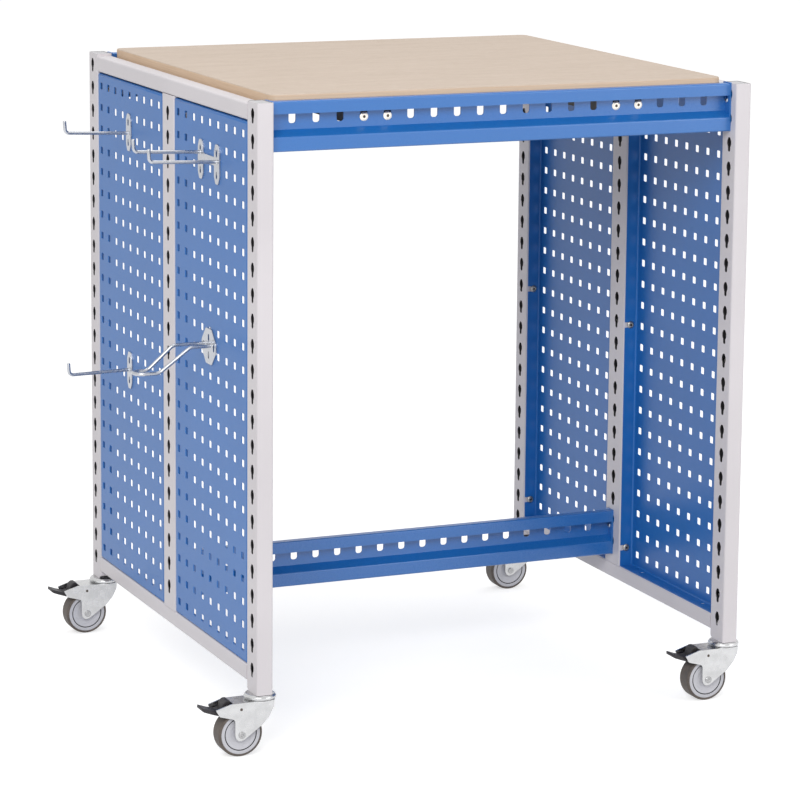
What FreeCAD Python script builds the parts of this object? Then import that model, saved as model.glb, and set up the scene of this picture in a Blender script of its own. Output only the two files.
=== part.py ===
import FreeCAD, Part
import math
import os

Vector = FreeCAD.Vector

# All sizes are in millimetres. The table is laid out with X = 0 on the outer face of the left end,
# Y = 0 on the front face and Z = 0 on the floor, and is moved to its origin when it is saved.

# End frames
overall_width = 875.0        # over the outer faces of the two ends
bay_width = 345.0            # clear width of each of the two bays in an end
corner_post_width = 46.0
middle_post_width = 57.0
post_depth = 28.0            # along X, the same for posts and rails
post_length = 955.0
tube_wall = 1.5
tube_corner = 3.5
rail_height = 27.0
top_rail_drop = 4.0          # the posts stand this much above the top rail
bottom_rail_rise = 14.0      # and this much below the bottom rail
foot_corner = 12.0           # rounding of a post's lower inner corner
caster_height = 100.0        # floor to the underside of the posts
cap_drop = 1.0               # cap below the rim of its post
cap_thickness = 8.0
socket_length = 30.0

frame_depth = 2 * corner_post_width + 2 * bay_width + middle_post_width
middle_post_y = corner_post_width + bay_width
rear_bay_y = middle_post_y + middle_post_width
post_top = caster_height + post_length
top_rail_z = post_top - top_rail_drop - rail_height
bottom_rail_z = caster_height + bottom_rail_rise
bay_low = bottom_rail_z + rail_height
bay_high = top_rail_z
post_centre = post_depth / 2
inner_width = overall_width - 2 * post_depth

# Keyholes up both wide faces of every post
keyhole_pitch = 40.7
keyhole_top = post_top - 21.5
keyhole_count = 23
keyhole_width = 7.0
keyhole_mouth = 12.7
keyhole_length = 24.0
keyhole_from_edge = 21.0

# Perforated panels
panel_recess = 1.0
panel_depth = 25.0
panel_sheet = 1.25
panel_bend = 5.0
panel_top_gap = 2.5
hole_pitch = 38.0
hole_columns = 9
hole_rows = 23
hole_size = 12.5
hole_top = post_top - 54.6   # centre of the top row
flange_hole = 8.0
flange_hole_x = 10.0
flange_hole_offset = 114.0

# Panel screws, driven through notches in the panel's side flanges
screw_x = 15.0               # from the outer face
screw_notch = 10.0
screw_thread = 6.0
screw_length = 10.0
screw_head = (6.5, 3.0)      # radius, height
screw_levels = [bottom_rail_z + 61.0 + 408.0 * level for level in range(3)]

# Cross beams, folded from sheet with a hooking groove along the front
beam_sheet = 2.0
beam_height = 80.0
beam_lip = 20.0
beam_depth = 16.0            # lip face to web face
groove_low = 46.5            # web to ledge, below the beam's top
ledge_low = 57.0             # ledge to lower face
beam_return = 12.0
beam_bend = 3.0
upper_beam_top = post_top - 0.5
lower_beam_top = caster_height + 138.0
upper_beam_y = 17.5          # lip face behind the front face of the posts
lower_beam_y = middle_post_y + 25.0
slot_pitch = 40.7
slot_count = 19
slot_width = 12.0
slot_high = 21.0
slot_low = 36.8
slot_corner = 3.5
end_plate = 3.0
end_plate_depth = 24.0
end_plate_rise = 1.5
tongue_thickness = 4.0
tongue_reach = 4.0           # of an end plate's tongues into the post
tongue_levels = (-11.0, -9.0, 5.0)   # foot, neck and top, from the keyhole's middle
beam_bolt_y = 10.8           # behind the lip face
beam_bolt_z = 28.5           # below the beam's top
beam_bolt_thread = 5.0
beam_bolt_length = 14.0
beam_bolt_head = (4.8, 2.2)
clearance = 0.1              # between a thread and the hole that stands for its mate

# Worktop and the two rails that carry it
worktop_thickness = 25.0
worktop_top = post_top + 8.5
worktop_side_gap = 8.0       # to the end frames
worktop_edge_gap = 0.5       # to the webs of the beams
worktop_corner = 15.0
worktop_bevel = 2.0
support_width = 64.0
support_height = 30.0
support_sheet = 2.0
support_slots = (3, 14)      # the lower of the two slots that each rail is bolted through
support_bolt_z = 31.0        # below the beam's top
support_bolt_thread = 8.0
support_bolt_length = 14.0
support_bolt_head = (8.0, 4.5)
support_bolt_socket = (3.2, 2.5)
support_nut = (7.5, 6.5)
board_screw_thread = 4.4
board_screw_length = 18.0
board_screw_head = (4.5, 3.0)
board_screw_shares = (0.1, 0.5, 0.9)

# Hooks on the left end
hook_wire = 6.0
hook_bend = 7.0
hook_tip = 21.0
hook_plate = 2.5
hook_plate_width = 24.0
hook_plate_length = 65.0
hook_plate_rise = 6.6        # plate above its upper hole
hook_slot = (6.0, 12.0)      # in a back plate, near either end
hook_slot_inset = 15.0
hook_tongue = (7.0, -5.0, 3.0, 9.0)  # width, then foot, bend and top from the hole's middle
hook_tongue_lap = 0.2        # behind the panel's skin
strap_height = 14.0
loop_plate_width = 66.0
loop_plate_length = 59.0
loop_plate_rise = 3.5
loop_plate_side = 16.0       # upright stretch at either side
loop_root = 3.0              # wires above the plate's middle
loop_steps = ((-30.0, -92.0), (-58.0, -102.0))   # where each wire leaves its level and reaches the lower
loop_reach = 133.0
loop_spread = 29.0
loop_fall = 39.0             # step down from the plate to the loop
loop_bend = 18.0

# Casters, with their wheels trailing towards -X
wheel_radius = 37.5
wheel_width = 32.0
wheel_trail = 38.0
rim_radius = 33.5
rim_recess = 1.5             # rim's sides inside the tyre's
hub_radius = 8.0
hub_gap = 0.3
shoulder_width = 4.0
shoulder_drop = 2.2
axle_size = 8.0
axle_head = (5.0, 2.0)
axle_nut = (6.5, 4.0)
running_gap = 0.08           # round a shaft that turns in its bore
cheek_inner = 18.0
cheek_sheet = 2.5
cheek_outer = cheek_inner + cheek_sheet
boss_radius = 11.5
fork_web = 3.0
fork_top = 53.0              # above the axle
web_end = -14.0              # the web over the wheel stops here, from the axle
head_radius = 26.5
head_bottom = 91.6
race_height = 5.0
neck_radius = 22.0
race_gap = 0.4               # between the turning fork and the fixed head and nut
stem_size = 12.0
stem_top = caster_height + 26.0
kingpin_nut = (9.5, 5.0)
pedal_pivot = (-1.0, 42.5)   # from the axle
pedal_pin_size = 4.0
pedal_half_width = 15.0
button_half_width = 10.5

left_reach = -loop_reach - hook_wire / 2
right_reach = overall_width - post_centre + head_radius
origin = Vector((left_reach + right_reach) / 2, frame_depth / 2, 0)


# Helpers

def on_plane(plane, u, v):
    if plane == "XY":
        return Vector(u, v, 0)
    if plane == "XZ":
        return Vector(u, 0, v)
    return Vector(0, u, v)


def outline(corners, plane="XY"):
    """Closed wire through (u, v, radius) corners, each rounded by its own radius."""
    count = len(corners)
    edges = []
    ends = []
    for i, (u, v, radius) in enumerate(corners):
        here = on_plane(plane, u, v)
        before = on_plane(plane, *corners[i - 1][:2]) - here
        after = on_plane(plane, *corners[(i + 1) % count][:2]) - here
        if radius == 0:
            ends.append((here, here))
            continue
        half = before.getAngle(after) / 2
        setback = radius / math.tan(half)
        start = here + before.normalize() * setback
        stop = here + after.normalize() * setback
        inward = (before + after).normalize()
        middle = here + inward * (radius / math.sin(half) - radius)
        edges.append(Part.Arc(start, middle, stop).toShape())
        ends.append((start, stop))
    for i in range(count):
        leave = ends[i][1]
        arrive = ends[(i + 1) % count][0]
        if leave.distanceToPoint(arrive) > 1e-6:
            edges.append(Part.makeLine(leave, arrive))
    return Part.Wire(Part.__sortEdges__(edges))


def prism(corners, plane, direction, start=0.0):
    """Solid swept from a rounded outline along a vector, beginning a distance along it."""
    face = Part.Face(outline(corners, plane))
    unit = Vector(direction).normalize()
    face.translate(unit * start)
    return face.extrude(direction)


def rectangle(u0, v0, u1, v1, radius=0.0):
    return [(u0, v0, radius), (u1, v0, radius), (u1, v1, radius), (u0, v1, radius)]


def box(low, high):
    return Part.makeBox(high[0] - low[0], high[1] - low[1], high[2] - low[2], Vector(*low))


def rod(radius, start, stop):
    line = Vector(*stop) - Vector(*start)
    return Part.makeCylinder(radius, line.Length, Vector(*start), line)


def faceted_rod(radius, start, stop, sides=8):
    """Rod with flat sides, for nuts and for the plain form of small screws and their holes."""
    line = Vector(*stop) - Vector(*start)
    turn = 2 * math.pi / sides
    ring = [Vector(radius * math.cos(i * turn), radius * math.sin(i * turn), 0) for i in range(sides)]
    solid = Part.Face(Part.makePolygon(ring + [ring[0]])).extrude(Vector(0, 0, line.Length))
    solid.Placement = FreeCAD.Placement(Vector(*start), FreeCAD.Rotation(Vector(0, 0, 1), line))
    return solid


def fuse(pieces):
    return pieces[0].multiFuse(pieces[1:]).removeSplitter()


def mirror_x(shape):
    return shape.mirror(Vector(overall_width / 2, 0, 0), Vector(1, 0, 0))


def mirror_y(shape):
    return shape.mirror(Vector(0, frame_depth / 2, 0), Vector(0, 1, 0))


def four_corners(shape):
    return [shape, mirror_x(shape), mirror_y(shape), mirror_x(mirror_y(shape))]


def save(name, shape):
    placed = shape.copy()
    placed.translate(origin * -1)
    placed.exportStep(os.path.join("parts", name + ".step"))
    print(name, len(placed.Solids), "solids", round(placed.Volume / 1000, 1), "cm3")


# Posts and rails

def tube(width_u, width_v, plane, direction):
    """Rounded rectangular tube with one corner of its section at the plane's zero."""
    outer = prism(rectangle(0, 0, width_u, width_v, tube_corner), plane, direction)
    bore = rectangle(tube_wall, tube_wall, width_u - tube_wall, width_v - tube_wall)
    return outer.cut(prism(bore, plane, direction))


def keyholes(y, rows):
    """Cutters through both wide faces: a slot that widens in its upper third."""
    half = keyhole_length / 2
    mouth = keyhole_length / 6
    cutters = []
    for row in rows:
        z = keyhole_top - row * keyhole_pitch
        corners = [(y - keyhole_width / 2, z - half, 0), (y + keyhole_width / 2, z - half, 0),
                   (y + keyhole_mouth / 2, z + mouth, 0), (y + keyhole_width / 2, z + half, 0),
                   (y - keyhole_width / 2, z + half, 0), (y - keyhole_mouth / 2, z + mouth, 0)]
        cutters.append(prism(corners, "YZ", Vector(post_depth + 2, 0, 0), -1))
    return cutters


def screw_cutters(y):
    """Threaded holes in a post's narrow face for the panel screws."""
    radius = screw_thread / 2 + clearance
    return [faceted_rod(radius, (screw_x, y - 3, z), (screw_x, y + 3, z)) for z in screw_levels]


def beam_bolt_cutter(y, top):
    z = top - beam_bolt_z
    return faceted_rod(beam_bolt_thread / 2 + clearance, (post_depth - 5, y, z), (post_depth + 5, y, z))


def corner_post():
    """Left front post, with its foot rounded towards the bay."""
    post = tube(post_depth, corner_post_width, "XY", Vector(0, 0, post_length))
    post.translate(Vector(0, 0, caster_height))
    round_y = corner_post_width - foot_corner
    round_z = caster_height + foot_corner
    corner = box((-1, round_y, caster_height - 1), (post_depth + 1, corner_post_width + 1, round_z))
    corner = corner.cut(rod(foot_corner, (-1, round_y, round_z), (post_depth + 1, round_y, round_z)))
    cutters = keyholes(keyhole_from_edge, range(keyhole_count)) + screw_cutters(corner_post_width)
    cutters.append(beam_bolt_cutter(upper_beam_y + beam_bolt_y, upper_beam_top))
    return post.cut(corner).cut(Part.makeCompound(cutters))


def middle_post():
    """Left middle post, which stands between the two rails."""
    post = tube(post_depth, middle_post_width, "XY", Vector(0, 0, bay_high - bay_low))
    post.translate(Vector(0, middle_post_y, bay_low))
    cutters = keyholes(middle_post_y + middle_post_width / 2, range(1, keyhole_count - 1))
    cutters += screw_cutters(middle_post_y) + screw_cutters(rear_bay_y)
    cutters.append(beam_bolt_cutter(lower_beam_y + beam_bolt_y, lower_beam_top))
    return post.cut(Part.makeCompound(cutters))


def end_rail(z):
    rail = tube(post_depth, rail_height, "XZ", Vector(0, frame_depth - 2 * corner_post_width, 0))
    rail.translate(Vector(0, corner_post_width, z))
    return rail


def post_cap():
    """Plastic plug in the open top of the left front post, a little below its rim."""
    top = post_top - cap_drop
    return box((tube_wall, tube_wall, top - cap_thickness),
               (post_depth - tube_wall, corner_post_width - tube_wall, top))


def stem_socket():
    """Block in the foot of the left front post that the caster stem screws into."""
    block = box((tube_wall, tube_wall, caster_height),
                (post_depth - tube_wall, corner_post_width - foot_corner, caster_height + socket_length))
    y = corner_post_width / 2
    return block.cut(rod(stem_size / 2, (post_centre, y, caster_height - 1), (post_centre, y, post_top)))


# Perforated panels

def rounded_tray(low, high, bend):
    """Block whose four edges round its outer face are rounded by the sheet's bend."""
    block = box(low, high)
    rim = [edge for edge in block.Edges if edge.BoundBox.XMax < low[0] + 0.01]
    return block.makeFillet(bend, rim)


def panel(y0):
    """Folded tray in a bay of the left end, its perforated skin facing out."""
    low = (panel_recess, y0, bay_low)
    high = (panel_recess + panel_depth, y0 + bay_width, bay_high - panel_top_gap)
    inner_low = [value + panel_sheet for value in low]
    inner_high = (high[0] + 2 * panel_bend, high[1] - panel_sheet, high[2] - panel_sheet)
    tray = rounded_tray(low, high, panel_bend)
    inside = rounded_tray(inner_low, inner_high, panel_bend - panel_sheet)
    first_y = y0 + (bay_width - (hole_columns - 1) * hole_pitch) / 2
    half = hole_size / 2
    cutters = []
    for column in range(hole_columns):
        for row in range(hole_rows):
            y = first_y + column * hole_pitch
            z = hole_top - row * hole_pitch
            cutters.append(box((0, y - half, z - half), (2 * panel_sheet + panel_recess, y + half, z + half)))
    for z in screw_levels:
        cutters.append(box((screw_x, y0 - 1, z - screw_notch / 2),
                           (high[0] + 1, y0 + bay_width + 1, z + screw_notch / 2)))
        cutters.append(faceted_rod(screw_notch / 2, (screw_x, y0 - 1, z), (screw_x, y0 + bay_width + 1, z)))
    for offset in (-flange_hole_offset, flange_hole_offset):
        y = y0 + bay_width / 2 + offset
        cutters.append(faceted_rod(flange_hole / 2, (flange_hole_x, y, low[2] - 1),
                                   (flange_hole_x, y, high[2] + 1)))
    return tray.cut(inside).cut(Part.makeCompound(cutters))


def screw(thread, length, head, seat, way, sides=8):
    """Plain screw with its head on a seat, its shank running back along the unit vector way."""
    seat = Vector(*seat)
    way = Vector(*way)
    shank = faceted_rod(thread / 2, seat, seat - way * length)
    return fuse([faceted_rod(head[0], seat, seat + way * head[1], sides), shank])


def panel_screws(y0):
    """Six screws that hold a panel of the left end to its posts."""
    screws = []
    for side, face in ((1, y0 + panel_sheet), (-1, y0 + bay_width - panel_sheet)):
        for z in screw_levels:
            screws.append(screw(screw_thread, screw_length, screw_head, (screw_x, face, z), (0, side, 0), 12))
    return screws


# Cross beams

def beam(y, top):
    """Folded beam with its lip at the front, a web behind and hooking slots in the web."""
    sheet = beam_sheet
    back = beam_depth + sheet
    bend = beam_bend
    tight = beam_bend - sheet
    slope = (ledge_low - groove_low) / beam_depth
    fold = sheet * (math.hypot(1, slope) - slope)
    section = [(0, -beam_lip, 0), (0, 0, bend), (back, 0, bend), (back, -groove_low - fold, bend),
               (sheet, -ledge_low - fold, tight), (sheet, -beam_height + sheet, tight),
               (beam_return, -beam_height + sheet, 0), (beam_return, -beam_height, 0),
               (0, -beam_height, bend), (0, -ledge_low, bend), (beam_depth, -groove_low, tight),
               (beam_depth, -sheet, tight), (sheet, -sheet, tight), (sheet, -beam_lip, 0)]
    length = inner_width - 2 * end_plate
    solid = prism(section, "YZ", Vector(length, 0, 0))
    first = (length - (slot_count - 1) * slot_pitch) / 2
    cutters = []
    for slot in range(slot_count):
        x0 = first + slot * slot_pitch - slot_width / 2
        x1 = x0 + slot_width
        shape = [(x0, -slot_high, 0), (x0, -slot_low + slot_corner, 0), (x0 + slot_corner, -slot_low, 0),
                 (x1 - slot_corner, -slot_low, 0), (x1, -slot_low + slot_corner, 0), (x1, -slot_high, 0)]
        cutters.append(prism(shape, "XZ", Vector(0, 3 * sheet, 0), beam_depth - sheet))
    solid = solid.cut(Part.makeCompound(cutters))
    solid.translate(Vector(post_depth + end_plate, y, top))
    return solid


def beam_end(y, top, hook_y):
    """Left end plate of a beam, with two tongues that hook into the keyholes of its post."""
    x = post_depth
    plate = box((x, y, top - beam_height), (x + end_plate, y + end_plate_depth, top + end_plate_rise))
    pieces = [plate]
    first_row = math.ceil((keyhole_top - top) / keyhole_pitch)
    near = hook_y - tongue_thickness / 2
    far = hook_y + tongue_thickness / 2
    for row in (first_row, first_row + 1):
        z = keyhole_top - row * keyhole_pitch
        foot, neck, head = [z + level for level in tongue_levels]
        pieces.append(box((x - tongue_reach, near, neck), (x, far, head)))
        pieces.append(box((x - tongue_reach, near, foot), (x - tongue_reach / 2, far, neck)))
    z = top - beam_bolt_z
    hole = faceted_rod(beam_bolt_thread / 2 + clearance, (x - 1, y + beam_bolt_y, z),
                       (x + end_plate + 1, y + beam_bolt_y, z))
    return fuse(pieces).cut(hole)


def beam_bolt(y, top):
    """Low-headed bolt through the left end plate of a beam into its post."""
    seat = (post_depth + end_plate, y + beam_bolt_y, top - beam_bolt_z)
    return screw(beam_bolt_thread, beam_bolt_length, beam_bolt_head, seat, (1, 0, 0), 16)


# Worktop

worktop_bottom = worktop_top - worktop_thickness
web_face = upper_beam_y + beam_depth
web_back = web_face + beam_sheet
first_slot_x = overall_width / 2 - (slot_count - 1) / 2 * slot_pitch


def worktop():
    x = post_depth + worktop_side_gap
    y = web_back + worktop_edge_gap
    corners = rectangle(x, y, overall_width - x, frame_depth - y, worktop_corner)
    board = prism(corners, "XY", Vector(0, 0, worktop_thickness))
    board.translate(Vector(0, 0, worktop_bottom))
    rim = [edge for edge in board.Edges if edge.BoundBox.ZMin > worktop_top - 0.01]
    return board.makeChamfer(worktop_bevel, rim)


def support_x(slot):
    return first_slot_x + (slot + 0.5) * slot_pitch


def support_rail(slot):
    """Channel from web to web, closed at both ends, open below, with holes for its bolts."""
    x0 = support_x(slot) - support_width / 2
    low = (x0, web_back, worktop_bottom - support_height)
    high = (x0 + support_width, frame_depth - web_back, worktop_bottom)
    inside = box((low[0] + support_sheet, low[1] + support_sheet, low[2] - 1),
                 (high[0] - support_sheet, high[1] - support_sheet, high[2] - support_sheet))
    rail = box(low, high).cut(inside)
    z = upper_beam_top - support_bolt_z
    radius = support_bolt_thread / 2 + clearance
    for side in (0, 1):
        x = first_slot_x + (slot + side) * slot_pitch
        rail = rail.cut(faceted_rod(radius, (x, low[1] - 1, z), (x, high[1] + 1, z)))
    return rail


def support_bolts(slot):
    """Two round-headed bolts with hexagon sockets, and their nuts, at a support rail's front end."""
    pieces = []
    z = upper_beam_top - support_bolt_z
    seat = web_back + support_sheet
    face = web_face - support_bolt_head[1]
    socket_end = face + support_bolt_socket[1]
    for side in (0, 1):
        x = first_slot_x + (slot + side) * slot_pitch
        bolt = screw(support_bolt_thread, support_bolt_length, support_bolt_head,
                     (x, web_face, z), (0, -1, 0), 16)
        socket = faceted_rod(support_bolt_socket[0], (x, face - 1, z), (x, socket_end, z), 6)
        nut = faceted_rod(support_nut[0], (x, seat, z), (x, seat + support_nut[1], z), 6)
        thread = faceted_rod(support_bolt_thread / 2, (x, seat - 1, z), (x, seat + support_nut[1] + 1, z))
        pieces += [bolt.cut(socket), nut.cut(thread)]
    return pieces


def worktop_screws(slot):
    """Pan-head screws up through a support rail into the board."""
    under = worktop_bottom - support_sheet
    x = support_x(slot)
    places = [web_back + share * (frame_depth - 2 * web_back) for share in board_screw_shares]
    return [screw(board_screw_thread, board_screw_length, board_screw_head, (x, y, under), (0, 0, -1))
            for y in places]


def drilled(part, screws, gap):
    """The part with a hole for the shank of each upright screw."""
    for piece in screws:
        bounds = piece.BoundBox
        x, y = bounds.Center.x, bounds.Center.y
        part = part.cut(faceted_rod(board_screw_thread / 2 + gap, (x, y, bounds.ZMin), (x, y, bounds.ZMax)))
    return part


# Hooks, each a back plate with bent tongues and welded wire

def hole_place(bay_y, column, row):
    first_y = bay_y + (bay_width - (hole_columns - 1) * hole_pitch) / 2
    return first_y + column * hole_pitch, hole_top - row * hole_pitch


def tongues(y, z):
    """Two bent tongues, one hole apart, that pass through the panel and rise behind its skin."""
    width, foot, bend, top = hook_tongue
    behind = panel_recess + panel_sheet + hook_tongue_lap
    back = behind + hook_plate
    near = y - width / 2
    far = y + width / 2
    pieces = []
    for level in (z, z - hole_pitch):
        pieces.append(box((panel_recess - hook_plate / 2, near, level + foot), (back, far, level + bend)))
        pieces.append(box((behind, near, level + bend), (back, far, level + top)))
    return pieces


def flat_plate(corners, y, top, low):
    """Plate on the panel's skin, with a slot near either end."""
    outer = panel_recess - hook_plate
    plate = prism(corners, "YZ", Vector(hook_plate, 0, 0), outer)
    half_width, half_height = hook_slot[0] / 2, hook_slot[1] / 2
    for centre in (top - hook_slot_inset, low + hook_slot_inset):
        slot = rectangle(y - half_width, centre - half_height, y + half_width, centre + half_height)
        plate = plate.cut(prism(slot, "YZ", Vector(hook_plate + 2, 0, 0), outer - 1))
    return plate


def back_plate(y, z):
    """Upright plate with pointed ends, its upper tongue at height z."""
    top = z + hook_plate_rise
    low = top - hook_plate_length
    half = hook_plate_width / 2
    corners = [(y - half, low + half, 0), (y - half / 2, low, 0), (y + half / 2, low, 0),
               (y + half, low + half, 0), (y + half, top - half, 0), (y + half / 2, top, 0),
               (y - half / 2, top, 0), (y - half, top - half, 0)]
    return flat_plate(corners, y, top, low)


def wire(points, bend):
    """Round wire along straight runs joined by bends of one radius."""
    edges = []
    leave = Vector(*points[0])
    for i in range(1, len(points) - 1):
        here = Vector(*points[i])
        before = Vector(*points[i - 1]) - here
        after = Vector(*points[i + 1]) - here
        half = before.getAngle(after) / 2
        setback = bend / math.tan(half)
        start = here + before.normalize() * setback
        stop = here + after.normalize() * setback
        middle = here + (before + after).normalize() * (bend / math.sin(half) - bend)
        edges += [Part.makeLine(leave, start), Part.Arc(start, middle, stop).toShape()]
        leave = stop
    edges.append(Part.makeLine(leave, Vector(*points[-1])))
    path = Part.Wire(edges)
    first = Vector(*points[1]) - Vector(*points[0])
    section = Part.Wire(Part.makeCircle(hook_wire / 2, Vector(*points[0]), first))
    return path.makePipeShell([section], True, False)


wire_start = panel_recess - hook_plate / 2


def prong(y, z, reach, rise):
    """Wire that runs out from the plate, changes height by its rise and turns up at its tip."""
    end = -reach + hook_wire / 2
    return wire([(wire_start, y, z), (end, y, z + rise), (end - 1.5, y, z + rise + hook_tip)], hook_bend)


def single_hook(column, row, drop, reach, rise):
    """Plate with one prong, which leaves it the drop below the upper hole."""
    y, z = hole_place(rear_bay_y, column, row)
    return fuse([back_plate(y, z), prong(y, z - drop, reach, rise)] + tongues(y, z))


def double_hook(column, row, drops, reach, rise):
    """Two prongs of unequal height on plates two holes apart, joined by a strap."""
    first_y, z = hole_place(corner_post_width, column, row)
    second_y = first_y + 2 * hole_pitch
    pieces = []
    for y, drop in zip((first_y, second_y), drops):
        pieces += [back_plate(y, z), prong(y, z - drop, reach, rise)] + tongues(y, z)
    strap_low = z - drops[0] - strap_height / 2
    pieces.append(box((panel_recess - hook_plate, first_y, strap_low),
                      (panel_recess, second_y, strap_low + strap_height)))
    return fuse(pieces)


def loop_holder(column, row):
    """Hexagonal plate with a wire loop that drops in a step to carry a handle."""
    y, z = hole_place(corner_post_width, column, row)
    top = z + loop_plate_rise
    low = top - loop_plate_length
    middle = (top + low) / 2
    wide = loop_plate_width / 2
    narrow = 0.4 * wide
    upper = middle + loop_plate_side / 2
    lower = middle - loop_plate_side / 2
    corners = [(y - narrow, low, 0), (y + narrow, low, 0), (y + wide, lower, 0), (y + wide, upper, 0),
               (y + narrow, top, 0), (y - narrow, top, 0), (y - wide, upper, 0), (y - wide, lower, 0)]
    pieces = [flat_plate(corners, y, top, low)] + tongues(y, z)
    root = middle + loop_root
    floor = root - loop_fall
    side = loop_spread / 2
    turn_x = -loop_reach + side
    for side_y, (leave, land) in zip((y - side, y + side), loop_steps):
        pieces.append(wire([(wire_start, side_y, root), (leave, side_y, root), (land, side_y, floor),
                            (turn_x, side_y, floor)], loop_bend))
    near = Vector(turn_x, y - side, floor)
    arc = Part.Arc(near, Vector(turn_x - side, y, floor), Vector(turn_x, y + side, floor))
    section = Part.Wire(Part.makeCircle(hook_wire / 2, near, Vector(1, 0, 0)))
    pieces.append(Part.Wire([arc.toShape()]).makePipeShell([section], True, False))
    return fuse(pieces)


# Casters. Each is built with its swivel axis at X = Y = 0 and stands on the floor.

axle_place = Vector(-wheel_trail, 0, wheel_radius)


def around_axle(profile):
    """Turned part about the wheel's axle from (radius, y) corners."""
    corners = [(radius, y, 0) for radius, y in profile]
    turned = Part.Face(outline(corners)).revolve(Vector(0, 0, 0), Vector(0, 1, 0), 360)
    turned.translate(axle_place)
    return turned


def beside_axle(shape):
    """A shape drawn about the axle, moved to the axle's place."""
    shape.translate(axle_place)
    return shape


def caster_head():
    """Race and neck with the stem that screws into the post, and a nut on the kingpin below."""
    shoulder = head_bottom + race_height
    race = rod(head_radius, (0, 0, head_bottom), (0, 0, shoulder))
    neck = rod(neck_radius, (0, 0, shoulder), (0, 0, caster_height))
    under_web = wheel_radius + fork_top - fork_web - race_gap
    nut_low = under_web - kingpin_nut[1]
    pin = rod(stem_size / 2, (0, 0, nut_low), (0, 0, stem_top))
    nut = faceted_rod(kingpin_nut[0], (0, 0, nut_low), (0, 0, under_web), 6)
    return fuse([race, neck, pin, nut])


def fork_outline():
    """Side shape of the fork about the axle, from its pedal end round the boss to its nose."""
    far = (34.0, 12.0)
    reach = math.hypot(*far)
    tangent = math.atan2(far[1], far[0]) - math.acos(boss_radius / reach)
    touch = (boss_radius * math.cos(tangent), boss_radius * math.sin(tangent))
    slope = (far[1] - touch[1]) / (far[0] - touch[0])
    boss_low = far[1] - slope * (far[0] + boss_radius)
    return [(-44.5, fork_top - 8.0, 0), (-37.5, 34.0, 0), (-boss_radius, 26.5, 0),
            (-boss_radius, boss_low, boss_radius), (far[0], far[1], 0), (47.5, 27.0, 20),
            (55.0, 42.0, 0), (56.0, fork_top, 0), (-19.0, fork_top, 0)]


def fork():
    """Pressed fork: two cheeks, a web over the wheel that stops short of the pedal, and a closed nose."""
    body = prism(fork_outline(), "XZ", Vector(0, 2 * cheek_outer, 0), -cheek_outer)
    under = fork_top - fork_web
    hollow = [(-70.0, fork_top + 1.0, 0), (-70.0, -30.0, 0), (50.0, -30.0, 0), (44.5, 27.5, 18),
              (52.0, 42.5, 0), (53.0, under, 0), (web_end, under, 0), (web_end, fork_top + 1.0, 0)]
    body = body.cut(prism(hollow, "XZ", Vector(0, 2 * cheek_inner, 0), -cheek_inner))
    seat_top = head_bottom - race_gap - wheel_radius
    seat = rod(neck_radius, (wheel_trail, 0, under), (wheel_trail, 0, seat_top))
    kingpin = rod(stem_size / 2 + clearance, (wheel_trail, 0, under - 1), (wheel_trail, 0, seat_top + 1))
    body = fuse([body, seat]).cut(kingpin)
    body = body.cut(rod(axle_size / 2, (0, -30, 0), (0, 30, 0)))
    px, pz = pedal_pivot
    return beside_axle(body.cut(rod(pedal_pin_size / 2, (px, -30, pz), (px, 30, pz))))


def wheel_axle():
    """Axle bolt with a low round head on the near cheek and a nut on the far one."""
    head = rod(axle_head[0], (0, -cheek_outer - axle_head[1], 0), (0, -cheek_outer, 0))
    shaft = rod(axle_size / 2, (0, -cheek_outer, 0), (0, cheek_outer + axle_nut[1], 0))
    nut = faceted_rod(axle_nut[0], (0, cheek_outer, 0), (0, cheek_outer + axle_nut[1], 0), 6)
    return beside_axle(fuse([head, shaft, nut]))


def wheel_rim():
    """Moulded wheel centre with a hub that keeps it between the cheeks."""
    bore = axle_size / 2 + running_gap
    hub = cheek_inner - hub_gap
    disc = wheel_width / 2 - rim_recess
    return around_axle([(bore, hub), (hub_radius, hub), (hub_radius, disc), (rim_radius, disc),
                        (rim_radius, -disc), (hub_radius, -disc), (hub_radius, -hub), (bore, -hub)])


def wheel_tyre():
    """Solid tread moulded on the rim, with bevelled shoulders."""
    half = wheel_width / 2
    tread = half - shoulder_width
    side = wheel_radius - shoulder_drop
    return around_axle([(rim_radius, half), (side, half), (wheel_radius, tread),
                        (wheel_radius, -tread), (side, -half), (rim_radius, -half)])


def brake_pedal():
    """Lever on its pin between the cheeks, with a toe to press and a button on its back."""
    px, pz = pedal_pivot
    lever = [(px + 4, pz + 4, 0), (px + 4, pz - 4, 0), (-12.0, 40.5, 0), (-30.0, 36.5, 0), (-38.0, 35.0, 0),
             (-50.0, 40.5, 0), (-72.0, 49.5, 0), (-76.0, 53.0, 0), (-75.0, 57.0, 0), (-50.0, 48.5, 0),
             (-38.0, 45.0, 0)]
    button = [(-17.0, 42.0, 0), (-17.0, 58.0, 0), (-20.0, 61.0, 0), (-27.0, 61.0, 0), (-31.0, 57.0, 0),
              (-33.0, 42.0, 0)]
    pedal = fuse([prism(lever, "XZ", Vector(0, 2 * pedal_half_width, 0), -pedal_half_width),
                  prism(button, "XZ", Vector(0, 2 * button_half_width, 0), -button_half_width)])
    return beside_axle(pedal.cut(rod(pedal_pin_size / 2 + running_gap, (px, -20, pz), (px, 20, pz))))


def pedal_pin():
    px, pz = pedal_pivot
    return beside_axle(rod(pedal_pin_size / 2, (px, -cheek_outer, pz), (px, cheek_outer, pz)))


# The whole table

os.makedirs("parts", exist_ok=True)

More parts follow.
